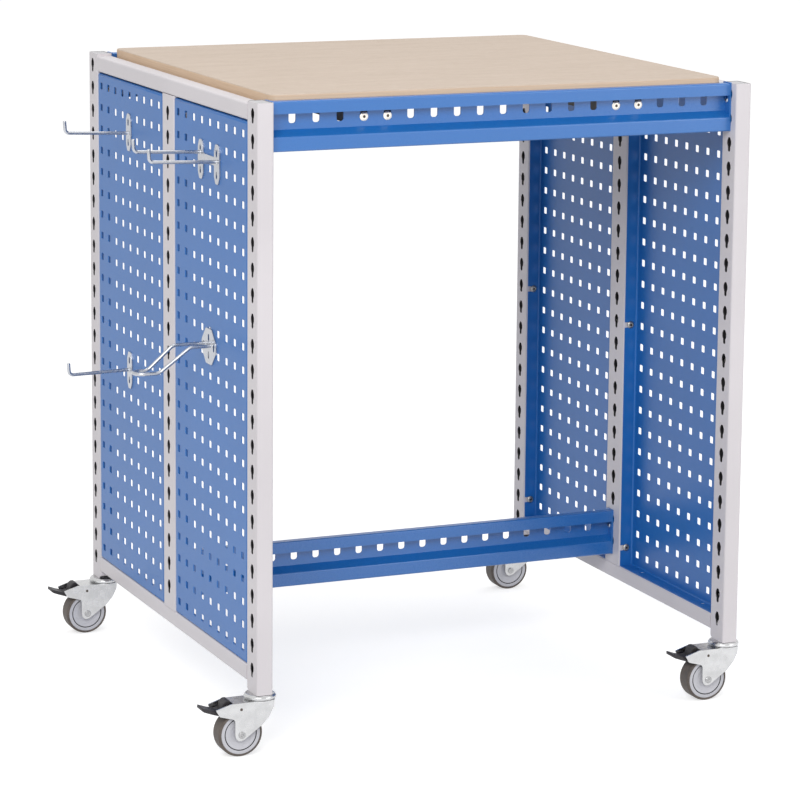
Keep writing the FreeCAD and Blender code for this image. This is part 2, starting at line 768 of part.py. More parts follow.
front_post = corner_post()
centre_post = middle_post()
save("left_front_post", front_post)
save("left_middle_post", centre_post)
save("left_rear_post", mirror_y(front_post))
save("right_front_post", mirror_x(front_post))
save("right_middle_post", mirror_x(centre_post))
save("right_rear_post", mirror_x(mirror_y(front_post)))
save("post_caps", Part.makeCompound(four_corners(post_cap())))
save("stem_sockets", Part.makeCompound(four_corners(stem_socket())))

for name, z in (("top_rail", top_rail_z), ("bottom_rail", bottom_rail_z)):
    save("left_" + name, end_rail(z))
    save("right_" + name, mirror_x(end_rail(z)))

all_screws = []
for bay, y in (("front", corner_post_width), ("rear", rear_bay_y)):
    tray = panel(y)
    save("left_" + bay + "_panel", tray)
    save("right_" + bay + "_panel", mirror_x(tray))
    screws = panel_screws(y)
    all_screws += screws + [mirror_x(piece) for piece in screws]
save("panel_screws", Part.makeCompound(all_screws))

upper_beam = beam(upper_beam_y, upper_beam_top)
save("front_beam", upper_beam)
save("rear_beam", mirror_y(upper_beam))
save("lower_beam", beam(lower_beam_y, lower_beam_top))
upper_end = beam_end(upper_beam_y, upper_beam_top, keyhole_from_edge)
lower_end = beam_end(lower_beam_y, lower_beam_top, middle_post_y + middle_post_width / 2)
save("beam_end_plates", Part.makeCompound(four_corners(upper_end) + [lower_end, mirror_x(lower_end)]))
upper_bolt = beam_bolt(upper_beam_y, upper_beam_top)
lower_bolt = beam_bolt(lower_beam_y, lower_beam_top)
save("beam_bolts", Part.makeCompound(four_corners(upper_bolt) + [lower_bolt, mirror_x(lower_bolt)]))

bolts = []
board_screws = []
for name, slot in zip(("left_support_rail", "right_support_rail"), support_slots):
    screws = worktop_screws(slot)
    board_screws += screws
    save(name, drilled(support_rail(slot), screws, 3 * clearance))
    front = support_bolts(slot)
    bolts += front + [mirror_y(piece) for piece in front]
save("support_bolts", Part.makeCompound(bolts))
save("worktop", drilled(worktop(), board_screws, 0.0))
save("worktop_screws", Part.makeCompound(board_screws))

save("upper_single_hook", single_hook(4, 1, drop=27.5, reach=117.5, rise=5.0))
save("double_hook", double_hook(3, 1, drops=(22.0, 15.0), reach=118.0, rise=5.0))
save("loop_holder", loop_holder(4, 9))
save("lower_single_hook", single_hook(4, 12, drop=25.0, reach=114.0, rise=-2.0))

caster_parts = {"caster_head": caster_head(), "caster_fork": fork(), "wheel_axle": wheel_axle(),
                "wheel_rim": wheel_rim(), "wheel_tyre": wheel_tyre(), "brake_pedal": brake_pedal(),
                "pedal_pin": pedal_pin()}
for side, x in (("left", post_centre), ("right", overall_width - post_centre)):
    for end, y in (("front", corner_post_width / 2), ("rear", frame_depth - corner_post_width / 2)):
        for name, shape in caster_parts.items():
            placed = shape.copy()
            placed.translate(Vector(x, y, 0))
            save(side + "_" + end + "_" + name, placed)

print("origin from the left front corner", origin)
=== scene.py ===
import math

import bmesh
import bpy
from mathutils import Matrix, Vector


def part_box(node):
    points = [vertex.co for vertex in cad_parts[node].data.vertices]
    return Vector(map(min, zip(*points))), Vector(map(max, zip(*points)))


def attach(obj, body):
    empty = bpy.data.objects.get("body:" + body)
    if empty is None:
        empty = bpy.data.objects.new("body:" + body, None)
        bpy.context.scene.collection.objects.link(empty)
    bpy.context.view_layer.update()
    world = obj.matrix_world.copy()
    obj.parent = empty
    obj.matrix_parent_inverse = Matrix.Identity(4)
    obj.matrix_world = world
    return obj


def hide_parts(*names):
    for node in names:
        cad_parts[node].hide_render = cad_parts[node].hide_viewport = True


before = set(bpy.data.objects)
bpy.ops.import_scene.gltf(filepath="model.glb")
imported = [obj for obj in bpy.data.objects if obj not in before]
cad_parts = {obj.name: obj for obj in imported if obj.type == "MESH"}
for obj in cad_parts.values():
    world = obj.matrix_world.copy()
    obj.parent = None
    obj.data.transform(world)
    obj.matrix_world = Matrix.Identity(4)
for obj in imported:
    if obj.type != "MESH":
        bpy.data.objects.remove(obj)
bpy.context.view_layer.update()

scene = bpy.context.scene
print("frame loaded:", len(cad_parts), "nodes")

# Everything is modelled in millimetres from the table's left front corner on the floor,
# and finishPiece moves it into the frame.
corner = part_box("left_front_post")[0]
zero = Vector((corner.x, corner.y, 0))


def nodeBox(node):
    low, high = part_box(node)
    return (low - zero) * 1000, (high - zero) * 1000


tableWide = nodeBox("right_front_post")[1].x
tableDeep = nodeBox("left_rear_post")[1].y
postFoot, postTop = nodeBox("left_front_post")[0].z, nodeBox("left_front_post")[1].z


# Modelling helpers, shared by all pieces

def onPlane(plane, u, v, w=0.0):
    if plane == "XY":
        return Vector((u, v, w))
    if plane == "XZ":
        return Vector((u, w, v))
    return Vector((w, u, v))


def addBlock(bm, low, high):
    verts = bmesh.ops.create_cube(bm, size=1.0)["verts"]
    bmesh.ops.scale(bm, vec=Vector(high) - Vector(low), verts=verts)
    bmesh.ops.translate(bm, vec=(Vector(low) + Vector(high)) / 2, verts=verts)
    return verts


def roundEdges(bm, edges, radius, steps=4):
    bmesh.ops.bevel(bm, geom=list(edges), offset=radius, offset_type="OFFSET", segments=steps,
                    profile=0.5, affect="EDGES", material=-1, clamp_overlap=True)


def edgesAlong(bm, direction, test=None):
    axis = Vector(direction)
    found = []
    for edge in bm.edges:
        span = edge.verts[1].co - edge.verts[0].co
        middle = (edge.verts[1].co + edge.verts[0].co) / 2
        if abs(span.normalized().dot(axis)) > 0.999 and (test is None or test(middle)):
            found.append(edge)
    return found


def edgesOnPlane(bm, axis, level, test=None):
    found = []
    for edge in bm.edges:
        middle = (edge.verts[1].co + edge.verts[0].co) / 2
        if all(abs(vert.co[axis] - level) < 1e-3 for vert in edge.verts) and (test is None or test(middle)):
            found.append(edge)
    return found


def roundCorners(bm, verts, radii, steps):
    # rounds the corners of an outline or a chain, and returns one vertex that is still on it
    count = len(verts)
    setbacks = []
    for i, radius in enumerate(radii):
        if not radius:
            setbacks.append(0.0)
            continue
        back = (verts[i - 1].co - verts[i].co).normalized()
        ahead = (verts[(i + 1) % count].co - verts[i].co).normalized()
        setbacks.append(radius / math.tan(back.angle(ahead) / 2))
    held = verts[0]
    for vert, setback in zip(verts, setbacks):
        if setback:
            held = bmesh.ops.bevel(bm, geom=[vert], offset=setback, offset_type="OFFSET",
                                   segments=steps, profile=0.5, affect="VERTICES",
                                   material=-1)["verts"][0]
    return held


def addPlate(bm, corners, plane, start, stop, steps=4):
    # a flat outline of (u, v, radius) corners, pulled from start to stop across its plane
    verts = [bm.verts.new(onPlane(plane, u, v, start)) for u, v, radius in corners]
    bm.faces.new(verts)
    held = roundCorners(bm, verts, [radius for u, v, radius in corners], steps)
    pulled = bmesh.ops.extrude_face_region(bm, geom=[held.link_faces[0]])
    moved = [item for item in pulled["geom"] if isinstance(item, bmesh.types.BMVert)]
    bmesh.ops.translate(bm, vec=onPlane(plane, 0, 0, stop - start), verts=moved)


def roundedBox(u0, v0, u1, v1, radius):
    return [(u0, v0, radius), (u1, v0, radius), (u1, v1, radius), (u0, v1, radius)]


def addRod(bm, radius, start, stop, sides=24):
    line = Vector(stop) - Vector(start)
    turn = Vector((0, 0, 1)).rotation_difference(line).to_matrix().to_4x4()
    place = Matrix.Translation((Vector(start) + Vector(stop)) / 2) @ turn
    return bmesh.ops.create_cone(bm, cap_ends=True, segments=sides, radius1=radius, radius2=radius,
                                 depth=line.length, matrix=place)["verts"]


def softProfile(corners, steps=4):
    # rounds a (radius, along, rounding) profile into plain points, in order
    bm = bmesh.new()
    verts = [bm.verts.new((radius, 0, along)) for radius, along, rounding in corners]
    for pair in zip(verts, verts[1:]):
        bm.edges.new(pair)
    start = verts[0].co.copy()
    roundCorners(bm, verts, [rounding for radius, along, rounding in corners], steps)
    ends = [vert for vert in bm.verts if len(vert.link_edges) == 1]
    here = min(ends, key=lambda vert: (vert.co - start).length)
    points, seen = [], set()
    while here:
        seen.add(here)
        points.append((here.co.x, here.co.z))
        onward = [edge.other_vert(here) for edge in here.link_edges]
        here = next((vert for vert in onward if vert not in seen), None)
    bm.free()
    return points


def addTurned(bm, corners, sides, steps, axis=(0, 0, 1), centre=(0, 0, 0)):
    # a (radius, along, rounding) profile spun fully round an axis
    fresh = bmesh.new()
    profile = softProfile(corners, steps)
    verts = [fresh.verts.new((radius, 0, along)) for radius, along in profile]
    edges = [fresh.edges.new(pair) for pair in zip(verts, verts[1:])]
    if profile[0][0] > 1e-6:
        edges.append(fresh.edges.new((verts[-1], verts[0])))
    bmesh.ops.spin(fresh, geom=verts + edges, cent=(0, 0, 0), axis=(0, 0, 1), angle=math.tau, steps=sides,
                   use_merge=True, use_duplicate=False)
    bmesh.ops.remove_doubles(fresh, verts=fresh.verts, dist=1e-4)
    bmesh.ops.recalc_face_normals(fresh, faces=fresh.faces)
    addShape(bm, fresh, facing(axis, centre))


def addShape(bm, other, place=Matrix.Identity(4)):
    mesh = bpy.data.meshes.new("shape")
    other.to_mesh(mesh)
    other.free()
    addCopies(bm, mesh, [place])
    bpy.data.meshes.remove(mesh)


def pullRing(bm, edges, vec):
    made = bmesh.ops.extrude_edge_only(bm, edges=edges)["geom"]
    verts = [item for item in made if isinstance(item, bmesh.types.BMVert)]
    bmesh.ops.translate(bm, vec=vec, verts=verts)
    return [item for item in made if isinstance(item, bmesh.types.BMEdge)
            and item.verts[0] in verts and item.verts[1] in verts]


def addWire(bm, points, radius, bends, closed=True, sides=16, steps=8):
    # round wire along straight runs, with a bend radius for each inner corner
    points = [Vector(point) for point in points]
    heading = (points[1] - points[0]).normalized()
    turn = Vector((0, 0, 1)).rotation_difference(heading).to_matrix().to_4x4()
    ring = bmesh.ops.create_circle(bm, radius=radius, segments=sides, cap_ends=False,
                                   matrix=Matrix.Translation(points[0]) @ turn)["verts"]
    edges = list({edge for vert in ring for edge in vert.link_edges})
    firstRing = list(edges)
    here = points[0]
    for before, inner, after, bend in zip(points, points[1:], points[2:], bends):
        incoming = (inner - before).normalized()
        outgoing = (after - inner).normalized()
        angle = incoming.angle(outgoing)
        setback = bend * math.tan(angle / 2)
        start = inner - incoming * setback
        if (start - here).length > 1e-3:
            edges = pullRing(bm, edges, start - here)
        axis = incoming.cross(outgoing).normalized()
        centre = start + axis.cross(incoming) * bend
        spun = bmesh.ops.spin(bm, geom=edges, cent=centre, axis=axis, angle=angle, steps=steps)
        edges = [item for item in spun["geom_last"] if isinstance(item, bmesh.types.BMEdge)]
        here = inner + outgoing * setback
    if (points[-1] - here).length > 1e-3:
        edges = pullRing(bm, edges, points[-1] - here)
    bmesh.ops.edgeloop_fill(bm, edges=firstRing)
    bmesh.ops.edgeloop_fill(bm, edges=edges)
    if closed:
        roundEdges(bm, edges, radius * 0.55, 4)


def template(bm, name):
    bmesh.ops.recalc_face_normals(bm, faces=bm.faces)
    mesh = bpy.data.meshes.new(name)
    bm.to_mesh(mesh)
    bm.free()
    return mesh


def draft(bm, name):
    thing = bpy.data.objects.new(name, template(bm, name))
    scene.collection.objects.link(thing)
    return thing


def combine(body, other, operation="DIFFERENCE"):
    # the body with the other shape taken away from it, added or kept in common
    bodyDraft, otherDraft = draft(body, "bodyDraft"), draft(other, "otherDraft")
    cut = bodyDraft.modifiers.new("cut", "BOOLEAN")
    cut.object, cut.operation, cut.solver = otherDraft, operation, "EXACT"
    bpy.context.view_layer.update()
    shaped = bodyDraft.evaluated_get(bpy.context.evaluated_depsgraph_get())
    result = bmesh.new()
    result.from_mesh(shaped.to_mesh())
    shaped.to_mesh_clear()
    for thing in (bodyDraft, otherDraft):
        mesh = thing.data
        bpy.data.objects.remove(thing)
        bpy.data.meshes.remove(mesh)
    bmesh.ops.remove_doubles(result, verts=result.verts, dist=1e-3)
    bmesh.ops.dissolve_degenerate(result, dist=1e-3, edges=result.edges)
    return result


def finishPiece(bm, node, materials, body="table", name=None, sharp=32, recalc=True):
    # mesh in the frame, with its finishes, in place of one CAD node and named after it
    name = name or node[0] + node.title().replace("_", "")[1:]
    if recalc:
        bmesh.ops.recalc_face_normals(bm, faces=bm.faces)
    bmesh.ops.scale(bm, vec=(0.001, 0.001, 0.001), verts=bm.verts)
    bmesh.ops.translate(bm, vec=zero, verts=bm.verts)
    mesh = bpy.data.meshes.new(name)
    bm.to_mesh(mesh)
    bm.free()
    for material in materials:
        mesh.materials.append(finishes[material])
    mesh.shade_smooth()
    mesh.set_sharp_from_angle(angle=math.radians(sharp))
    piece = bpy.data.objects.new(name, mesh)
    scene.collection.objects.link(piece)
    even = piece.modifiers.new("evenShading", "WEIGHTED_NORMAL")
    even.keep_sharp = True
    even.weight = 80
    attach(piece, body)
    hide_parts(node)


def addCopies(bm, mesh, places):
    # copies of a small template mesh, each by its own matrix
    for place in places:
        known = set(bm.verts)
        bm.from_mesh(mesh)
        bmesh.ops.transform(bm, matrix=place, verts=[vert for vert in bm.verts if vert not in known])


def facing(direction, location):
    turn = Vector((0, 0, 1)).rotation_difference(Vector(direction)).to_matrix().to_4x4()
    return Matrix.Translation(location) @ turn


def paintShade(bm, test):
    # gives the faces that pass the test their piece's second finish, a darker one that is painted shade in
    # each use
    for face in bm.faces:
        if test(face.calc_center_median(), face.normal):
            face.material_index = 1


# Materials, all on Object coordinates

def newMaterial(name, kind="ShaderNodeBsdfPrincipled"):
    material = bpy.data.materials.new(name)
    material.use_nodes = True
    tree = material.node_tree
    tree.nodes.clear()
    output = tree.nodes.new("ShaderNodeOutputMaterial")
    shader = tree.nodes.new(kind)
    tree.links.new(shader.outputs[0], output.inputs["Surface"])
    return material, tree, shader


def addNode(tree, kind, values):
    node = tree.nodes.new(kind)
    for name, value in values.items():
        node.inputs[name].default_value = value
    return node


def addNoise(tree, scale, detail, stretch=(1, 1, 1), roughness=0.5):
    coords = tree.nodes.new("ShaderNodeTexCoord")
    mapping = addNode(tree, "ShaderNodeMapping", {"Scale": stretch})
    noise = addNode(tree, "ShaderNodeTexNoise", {"Scale": scale, "Detail": detail, "Roughness": roughness})
    tree.links.new(coords.outputs["Object"], mapping.inputs["Vector"])
    tree.links.new(mapping.outputs["Vector"], noise.inputs["Vector"])
    return noise.outputs["Fac"]


def addRamp(tree, source, stops):
    ramp = tree.nodes.new("ShaderNodeValToRGB")
    elements = ramp.color_ramp.elements
    while len(elements) < len(stops):
        elements.new(0.5)
    for element, (at, colour) in zip(elements, stops):
        element.position = at
        element.color = (*colour, 1.0)
    tree.links.new(source, ramp.inputs["Fac"])
    return ramp.outputs["Color"]


def addRange(tree, source, low, high, fromLow=0.3, fromHigh=0.7):
    spread = addNode(tree, "ShaderNodeMapRange", {"From Min": fromLow, "From Max": fromHigh,
                                                  "To Min": low, "To Max": high})
    tree.links.new(source, spread.inputs["Value"])
    return spread.outputs["Result"]


def tint(tree, shader, source, stops):
    tree.links.new(addRamp(tree, source, stops), shader.inputs["Base Color"])


def toned(colour, *factors):
    # ramp stops from a darker to a lighter tone of one colour
    return [(at, tuple(min(1.0, channel * factor) for channel in colour))
            for at, factor in zip((0.3, 0.7), factors)]


def roughen(tree, shader, source, low, high):
    tree.links.new(addRange(tree, source, low, high), shader.inputs["Roughness"])


def addBump(tree, shader, source, strength, distance):
    bump = addNode(tree, "ShaderNodeBump", {"Strength": strength, "Distance": distance})
    tree.links.new(source, bump.inputs["Height"])
    tree.links.new(bump.outputs["Normal"], shader.inputs["Normal"])


def powderCoat(name, colour, roughness, gloss=0.5):
    # cured powder paint: a fine orange peel and a faint drift in tone
    material, tree, shader = newMaterial(name)
    shader.inputs["Specular IOR Level"].default_value = gloss
    tint(tree, shader, addNoise(tree, 5.0, 3.0), toned(colour, 0.965, 1.035))
    roughen(tree, shader, addNoise(tree, 1530.0, 1.0), roughness - 0.05, roughness + 0.07)
    addBump(tree, shader, addNoise(tree, 900.0, 2.0), 0.12, 0.00012)
    return material


def zincPlate(name, colour, roughness):
    # bright zinc: soft cloudy patches in the shine and faint rolling marks
    material, tree, shader = newMaterial(name)
    shader.inputs["Metallic"].default_value = 1.0
    clouds = addNoise(tree, 70.0, 4.0)
    tint(tree, shader, clouds, toned(colour, 0.9, 1.06))
    roughen(tree, shader, clouds, roughness - 0.06, roughness + 0.1)
    addBump(tree, shader, addNoise(tree, 400.0, 2.0, (1, 1, 6)), 0.08, 0.0001)
    return material


def mouldedPlastic(name, colour, roughness):
    material, tree, shader = newMaterial(name)
    drift = addNoise(tree, 30.0, 3.0)
    tint(tree, shader, drift, toned(colour, 0.93, 1.07))
    roughen(tree, shader, drift, roughness - 0.06, roughness + 0.06)
    addBump(tree, shader, addNoise(tree, 1500.0, 1.0), 0.15, 0.0001)
    return material


def boardFace(name, light, mid, dark):
    # sanded board: long soft figure with short pores, all running from left to right
    material, tree, shader = newMaterial(name)
    figure = addNoise(tree, 14.0, 6.0, (0.5, 2.4, 2.4), 0.62)
    pores = addNoise(tree, 240.0, 3.0, (0.3, 2.0, 2.0), 0.65)
    mix = tree.nodes.new("ShaderNodeMix")
    mix.data_type = "RGBA"
    mix.blend_type = "MULTIPLY"
    mix.inputs["Factor"].default_value = 0.55
    tree.links.new(addRamp(tree, figure, [(0.25, dark), (0.48, mid), (0.75, light)]), mix.inputs["A"])
    tree.links.new(addRamp(tree, pores, [(0.33, (0.88, 0.85, 0.82)), (0.55, (1.0, 1.0, 1.0))]),
                   mix.inputs["B"])
    tree.links.new(mix.outputs["Result"], shader.inputs["Base Color"])
    roughen(tree, shader, pores, 0.6, 0.48)
    addBump(tree, shader, pores, 0.15, 0.0002)
    return material


def boardEdge(name, light, dark):
    # cut edge of the board: fine level layers with small chips
    material, tree, shader = newMaterial(name)
    layers = addNoise(tree, 60.0, 3.0, (0.15, 0.15, 9.0), 0.6)
    tint(tree, shader, layers, [(0.3, dark), (0.7, light)])
    shader.inputs["Roughness"].default_value = 0.62
    addBump(tree, shader, layers, 0.25, 0.0003)
    return material


def tread(name, light, dark):
    # grey-brown thermoplastic rubber, dusty in patches
    material, tree, shader = newMaterial(name)
    dust = addNoise(tree, 55.0, 5.0, (1, 1, 1), 0.65)
    tint(tree, shader, dust, [(0.35, dark), (0.68, light)])
    roughen(tree, shader, dust, 0.5, 0.72)
    addBump(tree, shader, addNoise(tree, 900.0, 2.0), 0.2, 0.0001)
    return material


# how each finish is made: its kind, its colour or colours, then roughness and gloss
recipes = {
    "postPaint": (powderCoat, (0.668, 0.634, 0.658), 0.42),
    # tubeInside is painted shade: near-black for the tube's insides and the keyhole reveals
    "tubeInside": (powderCoat, (0.050, 0.048, 0.052), 0.7),
    "bluePaint": (powderCoat, (0.012, 0.142, 0.460), 0.36),
    "beamPaint": (powderCoat, (0.012, 0.142, 0.460), 0.3, 1.0),
    "blackPaint": (powderCoat, (0.022, 0.022, 0.024), 0.5),
    "zinc": (zincPlate, (0.600, 0.602, 0.608), 0.24),
    # wireZinc: zinc made darker as painted shade on the hooks and the loop holder, with a grey-blue tone
    "wireZinc": (zincPlate, (0.500, 0.515, 0.550), 0.26),
    # rivetZinc: zinc made darker as painted shade, so the axle rivet stands out
    "rivetZinc": (zincPlate, (0.430, 0.430, 0.435), 0.28),
    "screwZinc": (zincPlate, (0.360, 0.350, 0.335), 0.4),
    "boltSteel": (zincPlate, (0.830, 0.790, 0.720), 0.32),
    # socketSteel: the pedal pin's dark steel, and painted shade in the hex sockets of bolts and screws
    "socketSteel": (zincPlate, (0.110, 0.092, 0.080), 0.5),
    "capPlastic": (mouldedPlastic, (0.520, 0.515, 0.530), 0.55),
    "rimPlastic": (mouldedPlastic, (0.560, 0.560, 0.600), 0.42),
    # groovePlastic is painted shade for the groove ring in the wheel rim
    "groovePlastic": (mouldedPlastic, (0.045, 0.045, 0.050), 0.6),
    "pedalPlastic": (mouldedPlastic, (0.022, 0.019, 0.022), 0.5),
    "boardTop": (boardFace, (0.590, 0.480, 0.388), (0.560, 0.452, 0.362), (0.525, 0.420, 0.330)),
    "boardSide": (boardEdge, (0.750, 0.560, 0.395), (0.650, 0.465, 0.305)),
    "tyreTread": (tread, (0.150, 0.122, 0.103), (0.075, 0.062, 0.055)),
}
finishes = {name: kind(name, *values) for name, (kind, *values) in recipes.items()}
print("materials ready")


# Posts and rails: open tubes, keyholed through both wide faces
post = {
    "wall": 1.5, "corner": 3.5, "footRound": 12.0, "footSteps": 8,
    "keyholePitch": 40.7, "firstKeyhole": 21.5, "keyholes": 23, "keyholeInset": 21.0,
    "keyhole": [(3.9, -12.0, 3.3), (3.9, -4.5, 3.0), (6.8, 0.5, 3.0), (6.8, 6.0, 3.0), (2.8, 12.0, 2.0)],
    "revealShadeReach": 7.0,
}


def keyholeOutline(y, z):
    # the right half from post["keyhole"], (y, z, radius) about its middle, then its mirror
    left = [(-u, v, radius) for u, v, radius in reversed(post["keyhole"])]
    return [(y + u, z + v, radius) for u, v, radius in post["keyhole"] + left]


def makePost(side, place):
    node = f"{side}_{place}_post"
    low, high = nodeBox(node)
    wall = post["wall"]
    bm = bmesh.new()
    addBlock(bm, low, high)
    roundEdges(bm, edgesAlong(bm, (0, 0, 1)), post["corner"])
    bore = bmesh.new()
    if place == "middle":
        addBlock(bore, low + Vector((wall, wall, -10)), high - Vector((wall, wall, -10)))
    else:  # foot rounded towards the bay, inside and out
        inward = 1 if place == "front" else -1
        innerY, outerY = (high.y, low.y) if inward > 0 else (low.y, high.y)
        centre = Vector((low.x, innerY - inward * post["footRound"], low.z + post["footRound"]))
        for step in range(post["footSteps"]):
            angle = math.radians(90 * (step + 0.5) / post["footSteps"])
            away = Vector((0, inward * math.sin(angle), -math.cos(angle)))
            cut = bmesh.ops.bisect_plane(bm, geom=bm.verts[:] + bm.edges[:] + bm.faces[:],
                                         plane_co=centre + away * post["footRound"], plane_no=away,
                                         clear_outer=True)
            rim = [item for item in cut["geom_cut"] if isinstance(item, bmesh.types.BMEdge)]
            bmesh.ops.edgeloop_fill(bm, edges=rim)
        socketY = centre.y - inward * 0.5
        shape = [(outerY + inward * wall, high.z + 10, 0), (innerY - inward * wall, high.z + 10, 0),
                 (innerY - inward * wall, low.z + wall, post["footRound"] - wall - 0.1),
                 (socketY, low.z + wall, 0), (socketY, low.z - 10, 0),
                 (outerY + inward * wall, low.z - 10, 0)]
        addPlate(bore, shape, "YZ", low.x + wall, high.x - wall, 8)
    bm = combine(bm, bore)
    holes = bmesh.new()
    column = {"front": low.y + post["keyholeInset"], "middle": (low.y + high.y) / 2,
              "rear": high.y - post["keyholeInset"]}[place]
    rows = range(post["keyholes"]) if place != "middle" else range(1, post["keyholes"] - 1)
    for row in rows:
        z = postTop - post["firstKeyhole"] - row * post["keyholePitch"]
        addPlate(holes, keyholeOutline(column, z), "YZ", low.x - 1, high.x + 1, 3)
    bm = combine(bm, holes)
    bm.normal_update()
    edgeX, edgeY = (low.x + wall - 0.1, high.x - wall + 0.1), (low.y + wall - 0.1, high.y - wall + 0.1)
    # painted shade: the tube's inside walls and the keyhole reveals take the near-black second finish
    paintShade(bm, lambda at, normal: edgeX[0] < at.x < edgeX[1] and edgeY[0] < at.y < edgeY[1]
           and abs(normal.z) < 0.9 and at.z > low.z + 0.1)
    paintShade(bm, lambda at, normal: abs(at.y - column) < post["revealShadeReach"] and abs(normal.x) < 0.5
           and low.x + 0.05 < at.x < high.x - 0.05 and low.z + 2 < at.z < high.z - 2)
    finishPiece(bm, node, ["postPaint", "tubeInside"])


def makeRail(side, level):
    node = f"{side}_{level}_rail"
    low, high = nodeBox(node)
    wall = post["wall"]
    bm = bmesh.new()
    addBlock(bm, low, high)
    roundEdges(bm, edgesAlong(bm, (0, 1, 0)), post["corner"])
    bore = bmesh.new()
    addBlock(bore, low + Vector((wall, -10, wall)), high - Vector((wall, -10, wall)))
    finishPiece(combine(bm, bore), node, ["postPaint"])


for side in ("left", "right"):
    for place in ("front", "middle", "rear"):
        makePost(side, place)
    for level in ("top", "bottom"):
        makeRail(side, level)
print("posts and rails done")


# Perforated panels: trays folded from one sheet
panel = {
    "sheet": 1.25, "bend": 5.0, "pitch": 38.0, "columns": 9, "rows": 23, "topRow": 54.6,
    "hole": 12.1, "holeRound": 1.9, "screwIn": 15.0, "notch": 10.0, "screwUp": 61.0, "screwPitch": 408.0,
    "flangeHole": 8.0, "flangeHoleIn": 10.0, "flangeHoleOut": 114.0,
}
railFoot = nodeBox("left_bottom_rail")[0].z
screwLevels = [railFoot + panel["screwUp"] + panel["screwPitch"] * i for i in range(3)]


def makePanel(side, bay):
    node = f"{side}_{bay}_panel"
    low, high = nodeBox(node)
    outward = -1 if side == "left" else 1
    outerX, innerX = (low.x, high.x) if side == "left" else (high.x, low.x)
    sheet, over = panel["sheet"], 2.0
    skinX = outerX - outward * sheet
    bm = bmesh.new()
    addBlock(bm, low, high)
    roundEdges(bm, edgesOnPlane(bm, 0, outerX), panel["bend"], 6)
    hollow = bmesh.new()
    xs = sorted((skinX, innerX - outward * 12))
    addBlock(hollow, (xs[0], low.y + sheet, low.z + sheet), (xs[1], high.y - sheet, high.z - sheet))
    roundEdges(hollow, edgesOnPlane(hollow, 0, skinX), panel["bend"] - sheet, 6)
    bm = combine(bm, hollow)
    holes = bmesh.new()
    bayMiddle = (low.y + high.y) / 2
    firstY = bayMiddle - (panel["columns"] - 1) / 2 * panel["pitch"]
    through = sorted((outerX + outward * over, skinX - outward * over))
    half = panel["hole"] / 2
    for column in range(panel["columns"]):
        for row in range(panel["rows"]):
            y = firstY + column * panel["pitch"]
            z = postTop - panel["topRow"] - row * panel["pitch"]
            addPlate(holes, roundedBox(y - half, z - half, y + half, z + half, panel["holeRound"]),
                     "YZ", through[0], through[1], 3)
    screwX = panel["screwIn"] if side == "left" else tableWide - panel["screwIn"]
    half = panel["notch"] / 2
    for edgeY in (low.y, high.y):
        for z in screwLevels:
            ends = sorted((screwX + outward * half, innerX - outward * over))
            rounds = (half * 0.98, 0.0) if outward < 0 else (0.0, half * 0.98)
            shape = [(ends[0], z - half, rounds[0]), (ends[1], z - half, rounds[1]),
                     (ends[1], z + half, rounds[1]), (ends[0], z + half, rounds[0])]
            addPlate(holes, shape, "XZ", edgeY - over, edgeY + over, 6)
    holeX = outerX - outward * panel["flangeHoleIn"]
    for edgeZ in (low.z, high.z):
        for offset in (-panel["flangeHoleOut"], panel["flangeHoleOut"]):
            addRod(holes, panel["flangeHole"] / 2, (holeX, bayMiddle + offset, edgeZ - over),
                   (holeX, bayMiddle + offset, edgeZ + over))
    finishPiece(combine(bm, holes), node, ["bluePaint"])


for side in ("left", "right"):
    for bay in ("front", "rear"):
        makePanel(side, bay)
print("panels done")


# Cross beams with a hooking groove, and their end plates
beam = {
    "sheet": 2.0, "lip": 20.0, "deep": 16.0, "height": 80.0, "grooveLow": 46.5, "ledgeLow": 57.0,
    "fold": 1.08, "turn": 12.0, "bend": 3.0, "slots": 19, "slotPitch": 40.7, "slotWide": 12.0,
    "slotHigh": 21.0, "slotLow": 36.8, "slotRound": 4.6, "slotCorner": 0.8,
}
endPlate = {
    "thick": 3.0, "deep": 24.0, "rise": 1.5, "corner": 1.6,
    "tongue": 4.0, "foot": -11.0, "neck": -9.0, "head": 5.0,
}
keyholeTop = postTop - post["firstKeyhole"]


def makeBeam(name):
    node = f"{name}_beam"
    low, high = nodeBox(node)
    way = -1 if name == "rear" else 1  # +1 has its lip at the front
    lipY = low.y if way > 0 else high.y
    top, sheet, bend, fold = high.z, beam["sheet"], beam["bend"], beam["fold"]
    back, tight = beam["deep"] + sheet, beam["bend"] - sheet
    height, groove, ledge = beam["height"], beam["grooveLow"], beam["ledgeLow"]
    section = [(0, -beam["lip"], 0), (0, 0, bend), (back, 0, bend), (back, -groove - fold, bend),
               (sheet, -ledge - fold, tight), (sheet, sheet - height, tight),
               (beam["turn"], sheet - height, 0), (beam["turn"], -height, 0),
               (0, -height, bend), (0, -ledge, bend), (beam["deep"], -groove, tight),
               (beam["deep"], -sheet, tight), (sheet, -sheet, tight), (sheet, -beam["lip"], 0)]
    bm = bmesh.new()
    addPlate(bm, [(lipY + way * u, top + v, radius) for u, v, radius in section], "YZ", low.x, high.x, 5)
    slots = bmesh.new()
    webY = lipY + way * beam["deep"]
    ends = sorted((webY - way * 3, webY + way * 5))
    firstX = (low.x + high.x) / 2 - (beam["slots"] - 1) / 2 * beam["slotPitch"]
    half, above, below = beam["slotWide"] / 2, top - beam["slotHigh"], top - beam["slotLow"]
    for i in range(beam["slots"]):
        x = firstX + i * beam["slotPitch"]
        shape = [(x - half, above, beam["slotCorner"]), (x - half, below, beam["slotRound"]),
                 (x + half, below, beam["slotRound"]), (x + half, above, beam["slotCorner"])]
        addPlate(slots, shape, "XZ", ends[0], ends[1], 6)
    finishPiece(combine(bm, slots), node, ["beamPaint"])


